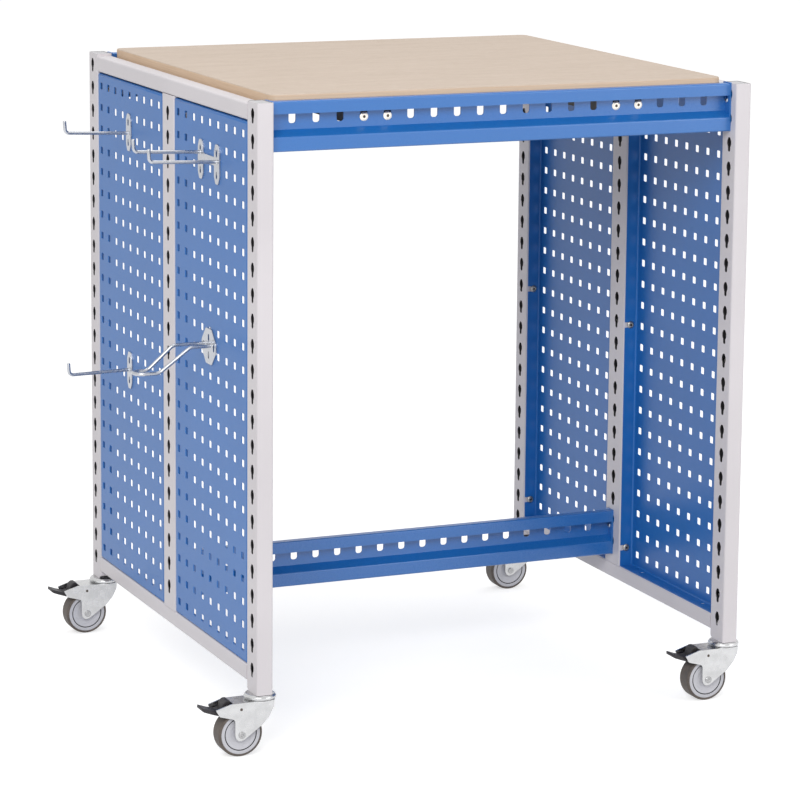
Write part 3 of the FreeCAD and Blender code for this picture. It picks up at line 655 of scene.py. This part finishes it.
def makeEndPlates():
    bm = bmesh.new()
    for name, hookY in (("front", post["keyholeInset"]), ("rear", tableDeep - post["keyholeInset"]),
                        ("lower", tableDeep / 2)):
        low, high = nodeBox(f"{name}_beam")
        way = -1 if name == "rear" else 1
        lipY = low.y if way > 0 else high.y
        ys = sorted((lipY, lipY + way * endPlate["deep"]))
        zs = (high.z - beam["height"], high.z + endPlate["rise"])
        firstRow = math.ceil((keyholeTop - high.z) / post["keyholePitch"])
        half = endPlate["tongue"] / 2
        for side in (-1, 1):
            inner = low.x if side < 0 else high.x
            xs = sorted((inner, inner + side * endPlate["thick"]))
            addPlate(bm, roundedBox(ys[0], zs[0], ys[1], zs[1], endPlate["corner"]), "YZ", xs[0], xs[1], 4)
            face = inner + side * endPlate["thick"]
            for row in (firstRow, firstRow + 1):
                z = keyholeTop - row * post["keyholePitch"]
                reach = sorted((face - side * 0.5, face + side * endPlate["tongue"]))
                tip = sorted((face + side * endPlate["tongue"] / 2, face + side * endPlate["tongue"]))
                addBlock(bm, (reach[0], hookY - half, z + endPlate["neck"]),
                         (reach[1], hookY + half, z + endPlate["head"]))
                addBlock(bm, (tip[0], hookY - half, z + endPlate["foot"]),
                         (tip[1], hookY + half, z + endPlate["neck"] + 0.5))
    finishPiece(bm, "beam_end_plates", ["beamPaint"])


for name in ("front", "rear", "lower"):
    makeBeam(name)
makeEndPlates()
print("beams done")


# Worktop on two inverted channels
worktop = {"corner": 15.0, "topRound": 2.2, "underRound": 1.0}
support = {"sheet": 2.0, "bend": 3.0}


def makeWorktop():
    low, high = nodeBox("worktop")
    bm = bmesh.new()
    addBlock(bm, low, high)
    roundEdges(bm, edgesAlong(bm, (0, 0, 1)), worktop["corner"], 10)
    for level, radius in ((high.z, worktop["topRound"]), (low.z, worktop["underRound"])):
        roundEdges(bm, edgesOnPlane(bm, 2, level), radius, 5)
    for face in bm.faces:
        face.material_index = 0 if face.normal.z > 0.35 or face.normal.z < -0.9 else 1
    finishPiece(bm, "worktop", ["boardTop", "boardSide"], name="worktopBoard", sharp=40)


def makeSupport(side):
    node = f"{side}_support_rail"
    low, high = nodeBox(node)
    sheet = support["sheet"]
    bm = bmesh.new()
    addBlock(bm, low, high)
    roundEdges(bm, edgesAlong(bm, (0, 1, 0), lambda middle: middle.z > high.z - 1), support["bend"], 4)
    hollow = bmesh.new()
    addBlock(hollow, (low.x + sheet, low.y + sheet, low.z - 2),
             (high.x - sheet, high.y - sheet, high.z - sheet))
    inner = edgesAlong(hollow, (0, 1, 0), lambda middle: middle.z > low.z)
    roundEdges(hollow, inner, support["bend"] - sheet, 3)
    finishPiece(combine(bm, hollow), node, ["blackPaint"])


makeWorktop()
makeSupport("left")
makeSupport("right")
print("worktop done")


# Screws, bolts and post caps
supportBolt = {"radius": 7.4, "height": 2.0, "thread": 8.0, "length": 14.0, "socket": 2.6, "depth": 1.3,
               "down": 31.0, "slots": (3, 14)}
supportNut = {"radius": 7.5, "height": 6.5, "eased": 0.6}
beamBolt = {"radius": 4.8, "height": 2.2, "thread": 5.0, "length": 14.0, "socket": 1.9, "depth": 1.5,
            "back": 10.8, "down": 28.5}
panelScrew = {"radius": 6.5, "height": 3.0, "thread": 6.0, "length": 10.0, "socket": 2.4, "depth": 2.0}
boardScrew = {"radius": 4.5, "height": 3.0, "thread": 4.4, "length": 18.0, "socket": 1.6, "depth": 1.8,
              "shares": (0.1, 0.5, 0.9)}
cap = {"wall": 1.5, "drop": 0.3, "height": 8.0, "corner": 2.0, "edge": 0.9}


def fastener(name, shape):
    # round head on a seat at zero, looking along +Z, with a hexagon socket; its shank runs back
    radius, height, half = shape["radius"], shape["height"], shape["thread"] / 2
    bm = bmesh.new()
    addTurned(bm, [(0, -shape["length"], 0), (half, -shape["length"], 0.5), (half, 0, 0),
                   (radius, 0, 0.2), (radius, 0.4 * height, 0.3 * height),
                   (0.62 * radius, height, 0.5 * height), (0, height, 0)], 32, 3)
    socket = bmesh.new()
    addRod(socket, shape["socket"], (0, 0, height - shape["depth"]), (0, 0, height + 1), 6)
    bm = combine(bm, socket)
    bm.normal_update()
    # painted shade in the hexagon socket: its walls and floor take the dark second finish
    paintShade(bm, lambda at, normal: math.hypot(at.x, at.y) < shape["socket"] * 1.01
           and height - shape["depth"] - 0.1 < at.z < height - 0.1)
    return template(bm, name)


def hexNut(name, radius, height, eased):
    bm = bmesh.new()
    addRod(bm, radius, (0, 0, 0), (0, 0, height), 6)
    flat = [edge for edge in bm.edges if abs(edge.verts[0].co.z - edge.verts[1].co.z) < 1e-3]
    roundEdges(bm, flat, eased, 2)
    return template(bm, name)


def makeSupportBolts():
    bm = bmesh.new()
    bolt, nut = fastener("supportBolt", supportBolt), hexNut("supportNut", **supportNut)
    low, high = nodeBox("front_beam")
    webFace, webBack = low.y + beam["deep"], high.y
    firstX = (low.x + high.x) / 2 - (beam["slots"] - 1) / 2 * beam["slotPitch"]
    z = high.z - supportBolt["down"]
    for slot in supportBolt["slots"]:
        for x in (firstX + slot * beam["slotPitch"], firstX + (slot + 1) * beam["slotPitch"]):
            for way in (1, -1):
                faceY = webFace if way > 0 else tableDeep - webFace
                nutY = webBack + support["sheet"] if way > 0 else tableDeep - webBack - support["sheet"]
                addCopies(bm, bolt, [facing((0, -way, 0), (x, faceY, z))])
                addCopies(bm, nut, [facing((0, way, 0), (x, nutY, z))])
    finishPiece(bm, "support_bolts", ["boltSteel", "socketSteel"])


def makeBeamBolts():
    bm = bmesh.new()
    bolt = fastener("beamBolt", beamBolt)
    for name in ("front", "rear", "lower"):
        low, high = nodeBox(f"{name}_beam")
        y = high.y - beamBolt["back"] if name == "rear" else low.y + beamBolt["back"]
        z = high.z - beamBolt["down"]
        addCopies(bm, bolt, [facing((1, 0, 0), (low.x, y, z)), facing((-1, 0, 0), (high.x, y, z))])
    finishPiece(bm, "beam_bolts", ["zinc", "socketSteel"])


def makePanelScrews():
    bm = bmesh.new()
    screw = fastener("panelScrew", panelScrew)
    for x in (panel["screwIn"], tableWide - panel["screwIn"]):
        for bay in ("front", "rear"):
            low, high = nodeBox(f"left_{bay}_panel")
            for z in screwLevels:
                addCopies(bm, screw, [facing((0, 1, 0), (x, low.y + panel["sheet"], z)),
                                      facing((0, -1, 0), (x, high.y - panel["sheet"], z))])
    finishPiece(bm, "panel_screws", ["screwZinc", "socketSteel"])


def makeBoardScrews():
    bm = bmesh.new()
    screw = fastener("boardScrew", boardScrew)
    for side in ("left", "right"):
        low, high = nodeBox(f"{side}_support_rail")
        for share in boardScrew["shares"]:
            y = low.y + share * (high.y - low.y)
            addCopies(bm, screw, [facing((0, 0, -1), ((low.x + high.x) / 2, y, high.z - support["sheet"]))])
    finishPiece(bm, "worktop_screws", ["zinc", "socketSteel"], name="boardScrews")


def makeCaps():
    bm = bmesh.new()
    for side in ("left", "right"):
        for place in ("front", "rear"):
            low, high = nodeBox(f"{side}_{place}_post")
            part = bmesh.new()
            addBlock(part, (low.x + cap["wall"], low.y + cap["wall"], high.z - cap["drop"] - cap["height"]),
                     (high.x - cap["wall"], high.y - cap["wall"], high.z - cap["drop"]))
            roundEdges(part, edgesAlong(part, (0, 0, 1)), cap["corner"], 4)
            roundEdges(part, edgesOnPlane(part, 2, high.z - cap["drop"]), cap["edge"], 3)
            addShape(bm, part)
    finishPiece(bm, "post_caps", ["capPlastic"])


makeSupportBolts()
makeBeamBolts()
makePanelScrews()
makeBoardScrews()
makeCaps()
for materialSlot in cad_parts["stem_sockets"].material_slots:
    materialSlot.material = finishes["capPlastic"]
print("fasteners done")


# Hooks and the loop holder, hung in the left panels' holes
hook = {
    "wire": 3.0, "bend": 7.0, "tip": 21.0, "plate": 2.5, "width": 24.0, "length": 65.0, "rise": 6.6,
    "slotWide": 6.0, "slotHigh": 12.0, "slotInset": 15.0, "corner": 4.0, "edge": 0.5,
    "tongue": 7.0, "foot": -5.0, "neck": 3.0, "head": 9.0, "behind": 2.45,
    "strap": 14.0, "weld": 1.8,
}
loop = {"width": 66.0, "length": 59.0, "rise": 3.5, "side": 16.0, "root": 3.0, "reach": 133.0,
        "spread": 29.0, "fall": 39.0, "bend": 18.0, "steps": ((-38.0, -92.0), (-58.0, -102.0))}
panelFace = nodeBox("left_front_panel")[0].x
plateFace = panelFace - hook["plate"]


def holePlace(bay, column, row):
    low, high = nodeBox(f"left_{bay}_panel")
    firstY = (low.y + high.y) / 2 - (panel["columns"] - 1) / 2 * panel["pitch"]
    return firstY + column * panel["pitch"], postTop - panel["topRow"] - row * panel["pitch"]


def plateOutline(y, top, low):
    half, corner = hook["width"] / 2, hook["corner"]
    return [(y - half, low + half, corner), (y - half / 2, low, corner), (y + half / 2, low, corner),
            (y + half, low + half, corner), (y + half, top - half, corner), (y + half / 2, top, corner),
            (y - half / 2, top, corner), (y - half, top - half, corner)]


def slottedPlate(corners, slots):
    # plate on the panel's skin with its edges eased and an upright slot at each (y, z)
    bm = bmesh.new()
    addPlate(bm, corners, "YZ", plateFace, panelFace, 4)
    roundEdges(bm, edgesOnPlane(bm, 0, plateFace), hook["edge"], 2)
    cutters = bmesh.new()
    halfWide, halfHigh = hook["slotWide"] / 2, hook["slotHigh"] / 2
    for y, z in slots:
        shape = roundedBox(y - halfWide, z - halfHigh, y + halfWide, z + halfHigh, halfWide * 0.97)
        addPlate(cutters, shape, "YZ", plateFace - 1, panelFace + 1, 5)
    return combine(bm, cutters)


def addTongues(bm, y, z):
    # two bent tongues that go through the panel's holes and up behind its skin
    near, far = y - hook["tongue"] / 2, y + hook["tongue"] / 2
    start, behind = panelFace - hook["plate"] / 2, panelFace + hook["behind"] - 1.0
    back = behind + hook["plate"]
    for level in (z, z - panel["pitch"]):
        addPlate(bm, [(start, level + hook["foot"], 0), (back, level + hook["foot"], 2.2),
                      (back, level + hook["head"], 1.0), (behind, level + hook["head"], 1.0),
                      (behind, level + hook["neck"], 0.8), (start, level + hook["neck"], 0)],
                 "XZ", near, far, 4)


def addWeld(bm, y, z):
    # small collar of weld where a wire leaves its plate
    ring = hook["wire"]
    addTurned(bm, [(ring - 0.2, -0.3, 0), (ring + hook["weld"], -0.3, 0),
                   (ring + hook["weld"] * 0.7, 0.7, 0.6), (ring + 0.1, 1.9, 0.5),
                   (ring - 0.2, 1.9, 0)], 20, 2, (-1, 0, 0), (plateFace, y, z))


def addProng(bm, y, z, reach, rise):
    end = -reach + hook["wire"]
    addWire(bm, [(panelFace - 1.0, y, z), (end, y, z + rise), (end - 1.5, y, z + rise + hook["tip"])],
            hook["wire"], [hook["bend"]])
    addWeld(bm, y, z)


def makeHook(node, place, drops, reach, rise):
    # one plate and prong for each drop, two pitches apart; a strap joins a pair
    y, z = holePlace(*place)
    top = z + hook["rise"]
    low = top - hook["length"]
    columns = [y + 2 * i * panel["pitch"] for i in range(len(drops))]
    corners = plateOutline(y, top, low)
    if len(drops) == 2:
        strapLow = z - drops[0] - hook["strap"] / 2
        strapTop = strapLow + hook["strap"]
        near, far = y + hook["width"] / 2, columns[1] - hook["width"] / 2
        corners = [*corners[:4], (near, strapLow, 1.5), (far, strapLow, 1.5),
                   *plateOutline(columns[1], top, low), (far, strapTop, 1.5), (near, strapTop, 1.5),
                   *corners[4:]]
    levels = (top - hook["slotInset"], low + hook["slotInset"])
    bm = slottedPlate(corners, [(at, level) for at in columns for level in levels])
    for at, drop in zip(columns, drops):
        addTongues(bm, at, z)
        addProng(bm, at, z - drop, reach, rise)
    finishPiece(bm, node, ["wireZinc"])


def makeLoopHolder(place):
    y, z = holePlace(*place)
    top = z + loop["rise"]
    low = top - loop["length"]
    middle = (top + low) / 2
    wide, narrow = loop["width"] / 2, 0.4 * loop["width"] / 2
    upper, lower = middle + loop["side"] / 2, middle - loop["side"] / 2
    corners = [(y - narrow, low, 5), (y + narrow, low, 5), (y + wide, lower, 7), (y + wide, upper, 7),
               (y + narrow, top, 5), (y - narrow, top, 5), (y - wide, upper, 7), (y - wide, lower, 7)]
    bm = slottedPlate(corners, [(y, top - hook["slotInset"]), (y, low + hook["slotInset"]),
                                (y - wide + 9, middle), (y + wide - 9, middle)])
    addTongues(bm, y, z)
    root, side = middle + loop["root"], loop["spread"] / 2
    floor = root - loop["fall"]
    near, far = loop["steps"]
    tip = -loop["reach"] + hook["wire"]
    addWire(bm, [(panelFace - 1.0, y - side, root), (near[0], y - side, root), (near[1], y - side, floor),
                 (tip, y - side, floor), (tip, y + side, floor), (far[1], y + side, floor),
                 (far[0], y + side, root), (panelFace - 1.0, y + side, root)],
            hook["wire"],
            [loop["bend"], loop["bend"], side - 0.01, side - 0.01, loop["bend"], loop["bend"]],
            closed=False, steps=10)
    addWeld(bm, y - side, root)
    addWeld(bm, y + side, root)
    finishPiece(bm, "loop_holder", ["wireZinc"])


makeHook("upper_single_hook", ("rear", 4, 1), (27.5,), 117.5, 5.0)
makeHook("lower_single_hook", ("rear", 4, 12), (25.0,), 114.0, -2.0)
makeHook("double_hook", ("front", 3, 1), (22.0, 15.0), 118.0, 5.0)
makeLoopHolder(("front", 4, 9))
print("hooks done")


# Casters, drawn about the axle, then moved under each corner post. Outlines are (x, z, radius)
# and turned profiles (radius, along, radius of the corner).
wheel = {
    "radius": 37.5, "trail": 38.0,
    "rim": [(4.1, 17.7, 0), (7.6, 17.7, 0.6), (8.3, 12.9, 0.5), (14.0, 13.2, 0), (14.3, 12.9, 0),
            (20.0, 13.6, 0), (20.3, 13.3, 0), (25.8, 14.3, 0.3), (26.0, 12.6, 0), (27.3, 12.6, 0),
            (27.5, 14.5, 0.3), (33.0, 14.5, 0.5), (33.5, 13.8, 0)],
    "groove": (25.8, 27.4, 12.0, 14.0),
    "tyre": [(33.5, 15.3, 0), (34.0, 16.0, 0.4), (35.5, 15.4, 0.8), (37.5, 12.2, 2.6)],
}
head = {"race": 26.5, "neck": 22.0, "low": 91.6, "dome": 99.0, "stem": 6.0, "stemTop": 126.0,
        "nut": 9.5, "nutLow": 82.1, "nutTop": 87.1, "eased": 0.7}
fork = {
    "outer": 20.5, "inner": 18.0, "top": 53.0, "web": 50.0, "nose": 12.0, "noseInner": 9.5,
    "shoulder": 4.0, "shoulderInner": 1.8, "mouth": -14.0, "bore": 6.2, "seat": 25.0, "seatTop": 53.7,
    "outline": [(-44.5, 45.0, 1.5), (-37.5, 34.0, 2.5), (-11.5, 26.5, 6.0), (-11.5, -18.5, 11.385),
                (34.0, 12.0, 14.0), (47.5, 27.0, 20.0), (55.0, 42.0, 10.0), (56.0, 53.0, 0),
                (-19.0, 53.0, 12.0)],
    "hollow": [(-70.0, -30.0, 0), (50.0, -30.0, 0), (44.5, 27.5, 18.0), (52.0, 42.5, 8.0),
               (53.0, 50.0, 0), (-70.0, 50.0, 0)],
}
axle = {"shaft": 4.0, "head": 5.8, "proud": 2.0, "nut": 6.5, "nutHeight": 4.0, "eased": 0.7}
pedal = {
    "pinX": -1.0, "pinZ": 42.5, "half": 15.0, "edge": 1.3, "toe": -66.0, "toeRound": 8.0,
    "lever": [(3.0, 46.5, 2.5), (3.0, 38.5, 2.5), (-12.0, 40.0, 2.0), (-30.0, 35.5, 3.0),
              (-38.0, 34.0, 3.0), (-50.0, 38.0, 8.0), (-62.0, 42.5, 2.0), (-65.5, 45.0, 1.9),
              (-65.0, 49.5, 1.9), (-50.0, 44.0, 8.0), (-38.0, 41.0, 3.0), (-25.0, 43.5, 3.0)],
    "buttonHalf": 10.5, "buttonEdge": 1.8,
    "button": [(-16.0, 41.0, 0), (-16.0, 55.0, 3.0), (-18.5, 57.5, 1.5), (-24.0, 57.5, 3.0),
               (-29.0, 53.0, 4.0), (-32.0, 40.5, 0)],
}
pedalPin = {"radius": 2.0, "bore": 2.08, "head": 2.4, "proud": 0.25, "sunk": 0.3}
toAxle = Vector((-wheel["trail"], 0, wheel["radius"]))
alongAxle = (0, -1, 0)


def mirrored(half):
    # a profile for one side of the wheel, carried on round its other side
    return half + [(radius, -along, rounding) for radius, along, rounding in reversed(half)]


def headShape():
    bm = bmesh.new()
    race, low, stem = head["race"], head["low"], head["stem"]
    stemLow = head["nutLow"] - 0.6
    addTurned(bm, [(0, stemLow, 0), (stem - 0.6, stemLow, 0), (stem, head["nutLow"], 0), (stem, low, 0),
                   (race - 1.6, low, 0), (race, low + 1.4, 1.2), (race, low + 4.4, 2.4),
                   (race - 2.4, head["dome"], 2.4), (head["neck"], postFoot, 0), (stem, postFoot, 0),
                   (stem, head["stemTop"], 1.0), (0, head["stemTop"], 0)], 72, 4)
    nut = bmesh.new()
    addRod(nut, head["nut"], (0, 0, head["nutLow"]), (0, 0, head["nutTop"]), 6)
    roundEdges(nut, edgesOnPlane(nut, 2, head["nutLow"]), head["eased"], 2)
    addShape(bm, nut)
    return template(bm, "casterHead")


def forkShell(half, outline, noseTest, nose, top, shoulder):
    # the side outline pulled across, its nose rounded in plan and its shoulders along the top
    bm = bmesh.new()
    addPlate(bm, outline, "XZ", -half, half, 8)
    edges = [edge for level in (-half, half) for edge in edgesOnPlane(bm, 1, level, noseTest)]
    roundEdges(bm, edges, nose, 8)
    edges = edgesOnPlane(bm, 2, top)
    lowestX = min(vert.co.x for edge in edges for vert in edge.verts)
    edges = [edge for edge in edges
             if not all(abs(vert.co.x - lowestX) < 1e-3 for vert in edge.verts)
             and len(edge.link_faces) == 2
             and any(abs(face.normal.z) < 0.9 for face in edge.link_faces)]
    bm.normal_update()
    roundEdges(bm, edges, shoulder, 5)
    return bm


def forkShape():
    top, web, seat = fork["top"], fork["web"], fork["seat"]
    outer = forkShell(fork["outer"], fork["outline"], lambda middle: middle.x > 30,
                      fork["nose"], top, fork["shoulder"])
    inner = forkShell(fork["inner"], fork["hollow"], lambda middle: middle.x > 40,
                      fork["noseInner"], web, fork["shoulderInner"])
    bm = combine(outer, inner)
    mouth = bmesh.new()  # the web stops behind the pedal's button
    addBlock(mouth, (-70, -fork["inner"], 30), (fork["mouth"], fork["inner"], top + 2))
    bm = combine(bm, mouth)
    ring = bmesh.new()
    addTurned(ring, [(fork["bore"], web + 1.0, 0), (seat, web + 1.0, 0), (seat, top + 0.3, 0.2),
                     (seat - 1.0, fork["seatTop"], 0.5), (fork["bore"], fork["seatTop"], 0)],
              64, 2, centre=(wheel["trail"], 0, 0))
    return template(combine(bm, ring, "UNION"), "casterFork")


def axleShape():
    outer, shaft, rivet = fork["outer"], axle["shaft"], axle["head"]
    end, proud = -outer - axle["nutHeight"] - 1.0, outer + axle["proud"]
    bm = bmesh.new()
    addTurned(bm, [(0, end, 0), (shaft, end, 0.6), (shaft, outer, 0), (rivet, outer, 0),
                   (rivet, outer + 1.0, 0.5), (rivet - 0.9, proud, 0.5), (2.4, proud, 0.4),
                   (1.9, outer + 1.1, 0.3), (0, outer + 1.1, 0)], 36, 3, alongAxle)
    nut = bmesh.new()
    addRod(nut, axle["nut"], (0, outer, 0), (0, outer + axle["nutHeight"], 0), 6)
    roundEdges(nut, edgesOnPlane(nut, 1, outer + axle["nutHeight"]), axle["eased"], 2)
    addShape(bm, nut)
    return template(bm, "wheelAxle")


def rimShape():
    bm = bmesh.new()
    addTurned(bm, mirrored(wheel["rim"]), 72, 3, alongAxle)
    near, far, deep, shallow = wheel["groove"]
    # painted shade: the faces inside the rim's groove ring take the near-black second finish
    paintShade(bm, lambda at, normal: near < math.hypot(at.x, at.z) < far and deep < abs(at.y) < shallow)
    return template(bm, "wheelRim")


def tyreShape():
    bm = bmesh.new()
    addTurned(bm, mirrored(wheel["tyre"]), 80, 4, alongAxle)
    return template(bm, "wheelTyre")


def pedalShape():
    x, z, half, toe, toeRound = (pedal[key] for key in ("pinX", "pinZ", "half", "toe", "toeRound"))
    bm = bmesh.new()
    addPlate(bm, pedal["lever"], "XZ", -half, half, 4)
    for level in (-half, half):
        roundEdges(bm, edgesOnPlane(bm, 1, level), pedal["edge"], 3)
    plan = bmesh.new()  # toe rounded in plan
    addPlate(plan, [(toe, -half - 1, toeRound), (10, -half - 1, 0), (10, half + 1, 0),
                    (toe, half + 1, toeRound)], "XY", 20, 70, 8)
    bm = combine(bm, plan, "INTERSECT")
    half = pedal["buttonHalf"]
    button = bmesh.new()
    addPlate(button, pedal["button"], "XZ", -half, half, 4)
    for level in (-half, half):
        edges = edgesOnPlane(button, 1, level, lambda middle: middle.z > 44)
        roundEdges(button, edges, pedal["buttonEdge"], 3)
    bm = combine(bm, button, "UNION")
    bore = bmesh.new()
    addRod(bore, pedalPin["bore"], (x, -30, z), (x, 30, z), 32)
    return template(combine(bm, bore), "brakePedal")


def pinShape():
    radius, rivet = pedalPin["radius"], pedalPin["head"]
    end, shoulder = fork["outer"] + pedalPin["proud"], fork["outer"] - pedalPin["sunk"]
    bm = bmesh.new()
    addTurned(bm, [(0, -end, 0), (rivet, -end, 0.2), (rivet, -shoulder, 0), (radius, -shoulder, 0),
                   (radius, shoulder, 0), (rivet, shoulder, 0), (rivet, end, 0.2), (0, end, 0)],
              28, 2, alongAxle, (pedal["pinX"], 0, pedal["pinZ"]))
    return template(bm, "pedalPin")


casterParts = [
    ("caster_head", headShape(), "table", ["zinc"], "zinc", False),
    ("caster_fork", forkShape(), "fork", ["zinc"], "zinc", True),
    ("wheel_axle", axleShape(), "fork", ["rivetZinc"], "zinc", True),
    ("wheel_rim", rimShape(), "wheel", ["rimPlastic", "groovePlastic"], "rim_plastic", True),
    ("wheel_tyre", tyreShape(), "wheel", ["tyreTread"], "tyre_rubber", True),
    ("brake_pedal", pedalShape(), "pedal", ["pedalPlastic"], "pedal_plastic", True),
    ("pedal_pin", pinShape(), "fork", ["socketSteel"], "zinc", True),
]


def makeCaster(side, place):
    low, high = nodeBox(f"{side}_{place}_post")
    stand = Vector(((low.x + high.x) / 2, (low.y + high.y) / 2, 0))
    for node, mesh, body, materials, slot, aboutAxle in casterParts:
        bm = bmesh.new()
        addCopies(bm, mesh, [Matrix.Translation(stand + (toAxle if aboutAxle else Vector()))])
        rider = "table" if body == "table" else f"{side}_{place}_{body}"
        finishPiece(bm, f"{side}_{place}_{node}", materials, rider, recalc=False)


for side in ("left", "right"):
    for place in ("front", "rear"):
        makeCaster(side, place)
print("casters done")


# Camera, floor and light
view = {"lens": 152.88, "azimuth": 23.6552, "elevation": 9.9676, "roll": 0.5474,
        "place": (-2.25129, -5.33148, 1.67199), "shift": (-0.0229, -0.1261)}
room = {"worldLight": 0.62, "worldSeen": 1.0, "floorShade": (0.68, 0.68, 0.68, 1), "floorGlow": 0.6,
        "floorSize": 20.0, "lampTarget": (0, 0, 0.6)}
lamps = [("keyLight", (-2.6, -3.95, 3.4), 2.6, 124),  # name, place, size, power
         ("fillLight", (2.8, -3.6, 2.0), 2.6, 40), ("topLight", (0.2, 0.4, 4.2), 2.4, 28)]


def makeCamera():
    azimuth, elevation, roll = (math.radians(view[key]) for key in ("azimuth", "elevation", "roll"))
    ahead = Vector((math.sin(azimuth) * math.cos(elevation), math.cos(azimuth) * math.cos(elevation),
                    -math.sin(elevation)))
    right = ahead.cross(Vector((0, 0, 1))).normalized()
    up = right.cross(ahead)
    leanRight = right * math.cos(roll) + up * math.sin(roll)
    leanUp = up * math.cos(roll) - right * math.sin(roll)
    camera = bpy.data.objects.new("camera", bpy.data.cameras.new("camera"))
    camera.data.lens = view["lens"]
    camera.data.sensor_width = 36
    camera.data.shift_x, camera.data.shift_y = view["shift"]
    camera.data.clip_end = 60
    turn = Matrix((leanRight, leanUp, -ahead)).transposed().to_4x4()
    camera.matrix_world = Matrix.Translation(view["place"]) @ turn
    scene.collection.objects.link(camera)
    scene.camera = camera


def addLamp(name, place, size, power):
    lamp = bpy.data.lights.new(name, "AREA")
    lamp.shape = "DISK"
    lamp.size = size
    lamp.energy = power
    holder = bpy.data.objects.new(name, lamp)
    holder.matrix_world = facing(Vector(place) - Vector(room["lampTarget"]), place)
    holder.visible_camera = False
    scene.collection.objects.link(holder)


def seenDirectly(tree):
    # 1 for camera, mirror and see-through rays, 0 for the light that falls on things
    path = tree.nodes.new("ShaderNodeLightPath")
    added = path.outputs["Is Camera Ray"]
    for ray in ("Is Glossy Ray", "Is Transmission Ray"):
        either = tree.nodes.new("ShaderNodeMath")
        either.operation = "MAXIMUM"
        tree.links.new(added, either.inputs[0])
        tree.links.new(path.outputs[ray], either.inputs[1])
        added = either.outputs["Value"]
    return added


def makeRoom():
    world = bpy.data.worlds.new("room")
    world.use_nodes = True
    tree = world.node_tree
    backdrop = tree.nodes["Background"]
    backdrop.inputs["Color"].default_value = (1, 1, 1, 1)
    strength = addRange(tree, seenDirectly(tree), room["worldLight"], room["worldSeen"], 0.0, 1.0)
    tree.links.new(strength, backdrop.inputs["Strength"])
    scene.world = world
    bm = bmesh.new()
    bmesh.ops.create_grid(bm, x_segments=1, y_segments=1, size=room["floorSize"])
    mesh = bpy.data.meshes.new("floor")
    bm.to_mesh(mesh)
    bm.free()
    floor = bpy.data.objects.new("floor", mesh)
    material, tree, total = newMaterial("floorWhite", "ShaderNodeAddShader")
    matte = addNode(tree, "ShaderNodeBsdfDiffuse", {"Color": room["floorShade"]})
    glow = tree.nodes.new("ShaderNodeEmission")
    strength = addRange(tree, seenDirectly(tree), 0.0, room["floorGlow"], 0.0, 1.0)
    tree.links.new(strength, glow.inputs["Strength"])
    tree.links.new(matte.outputs["BSDF"], total.inputs[0])
    tree.links.new(glow.outputs["Emission"], total.inputs[1])
    mesh.materials.append(material)
    scene.collection.objects.link(floor)


makeCamera()
makeRoom()
for lamp in lamps:
    addLamp(*lamp)
scene.view_settings.view_transform = "Standard"
print("room ready")
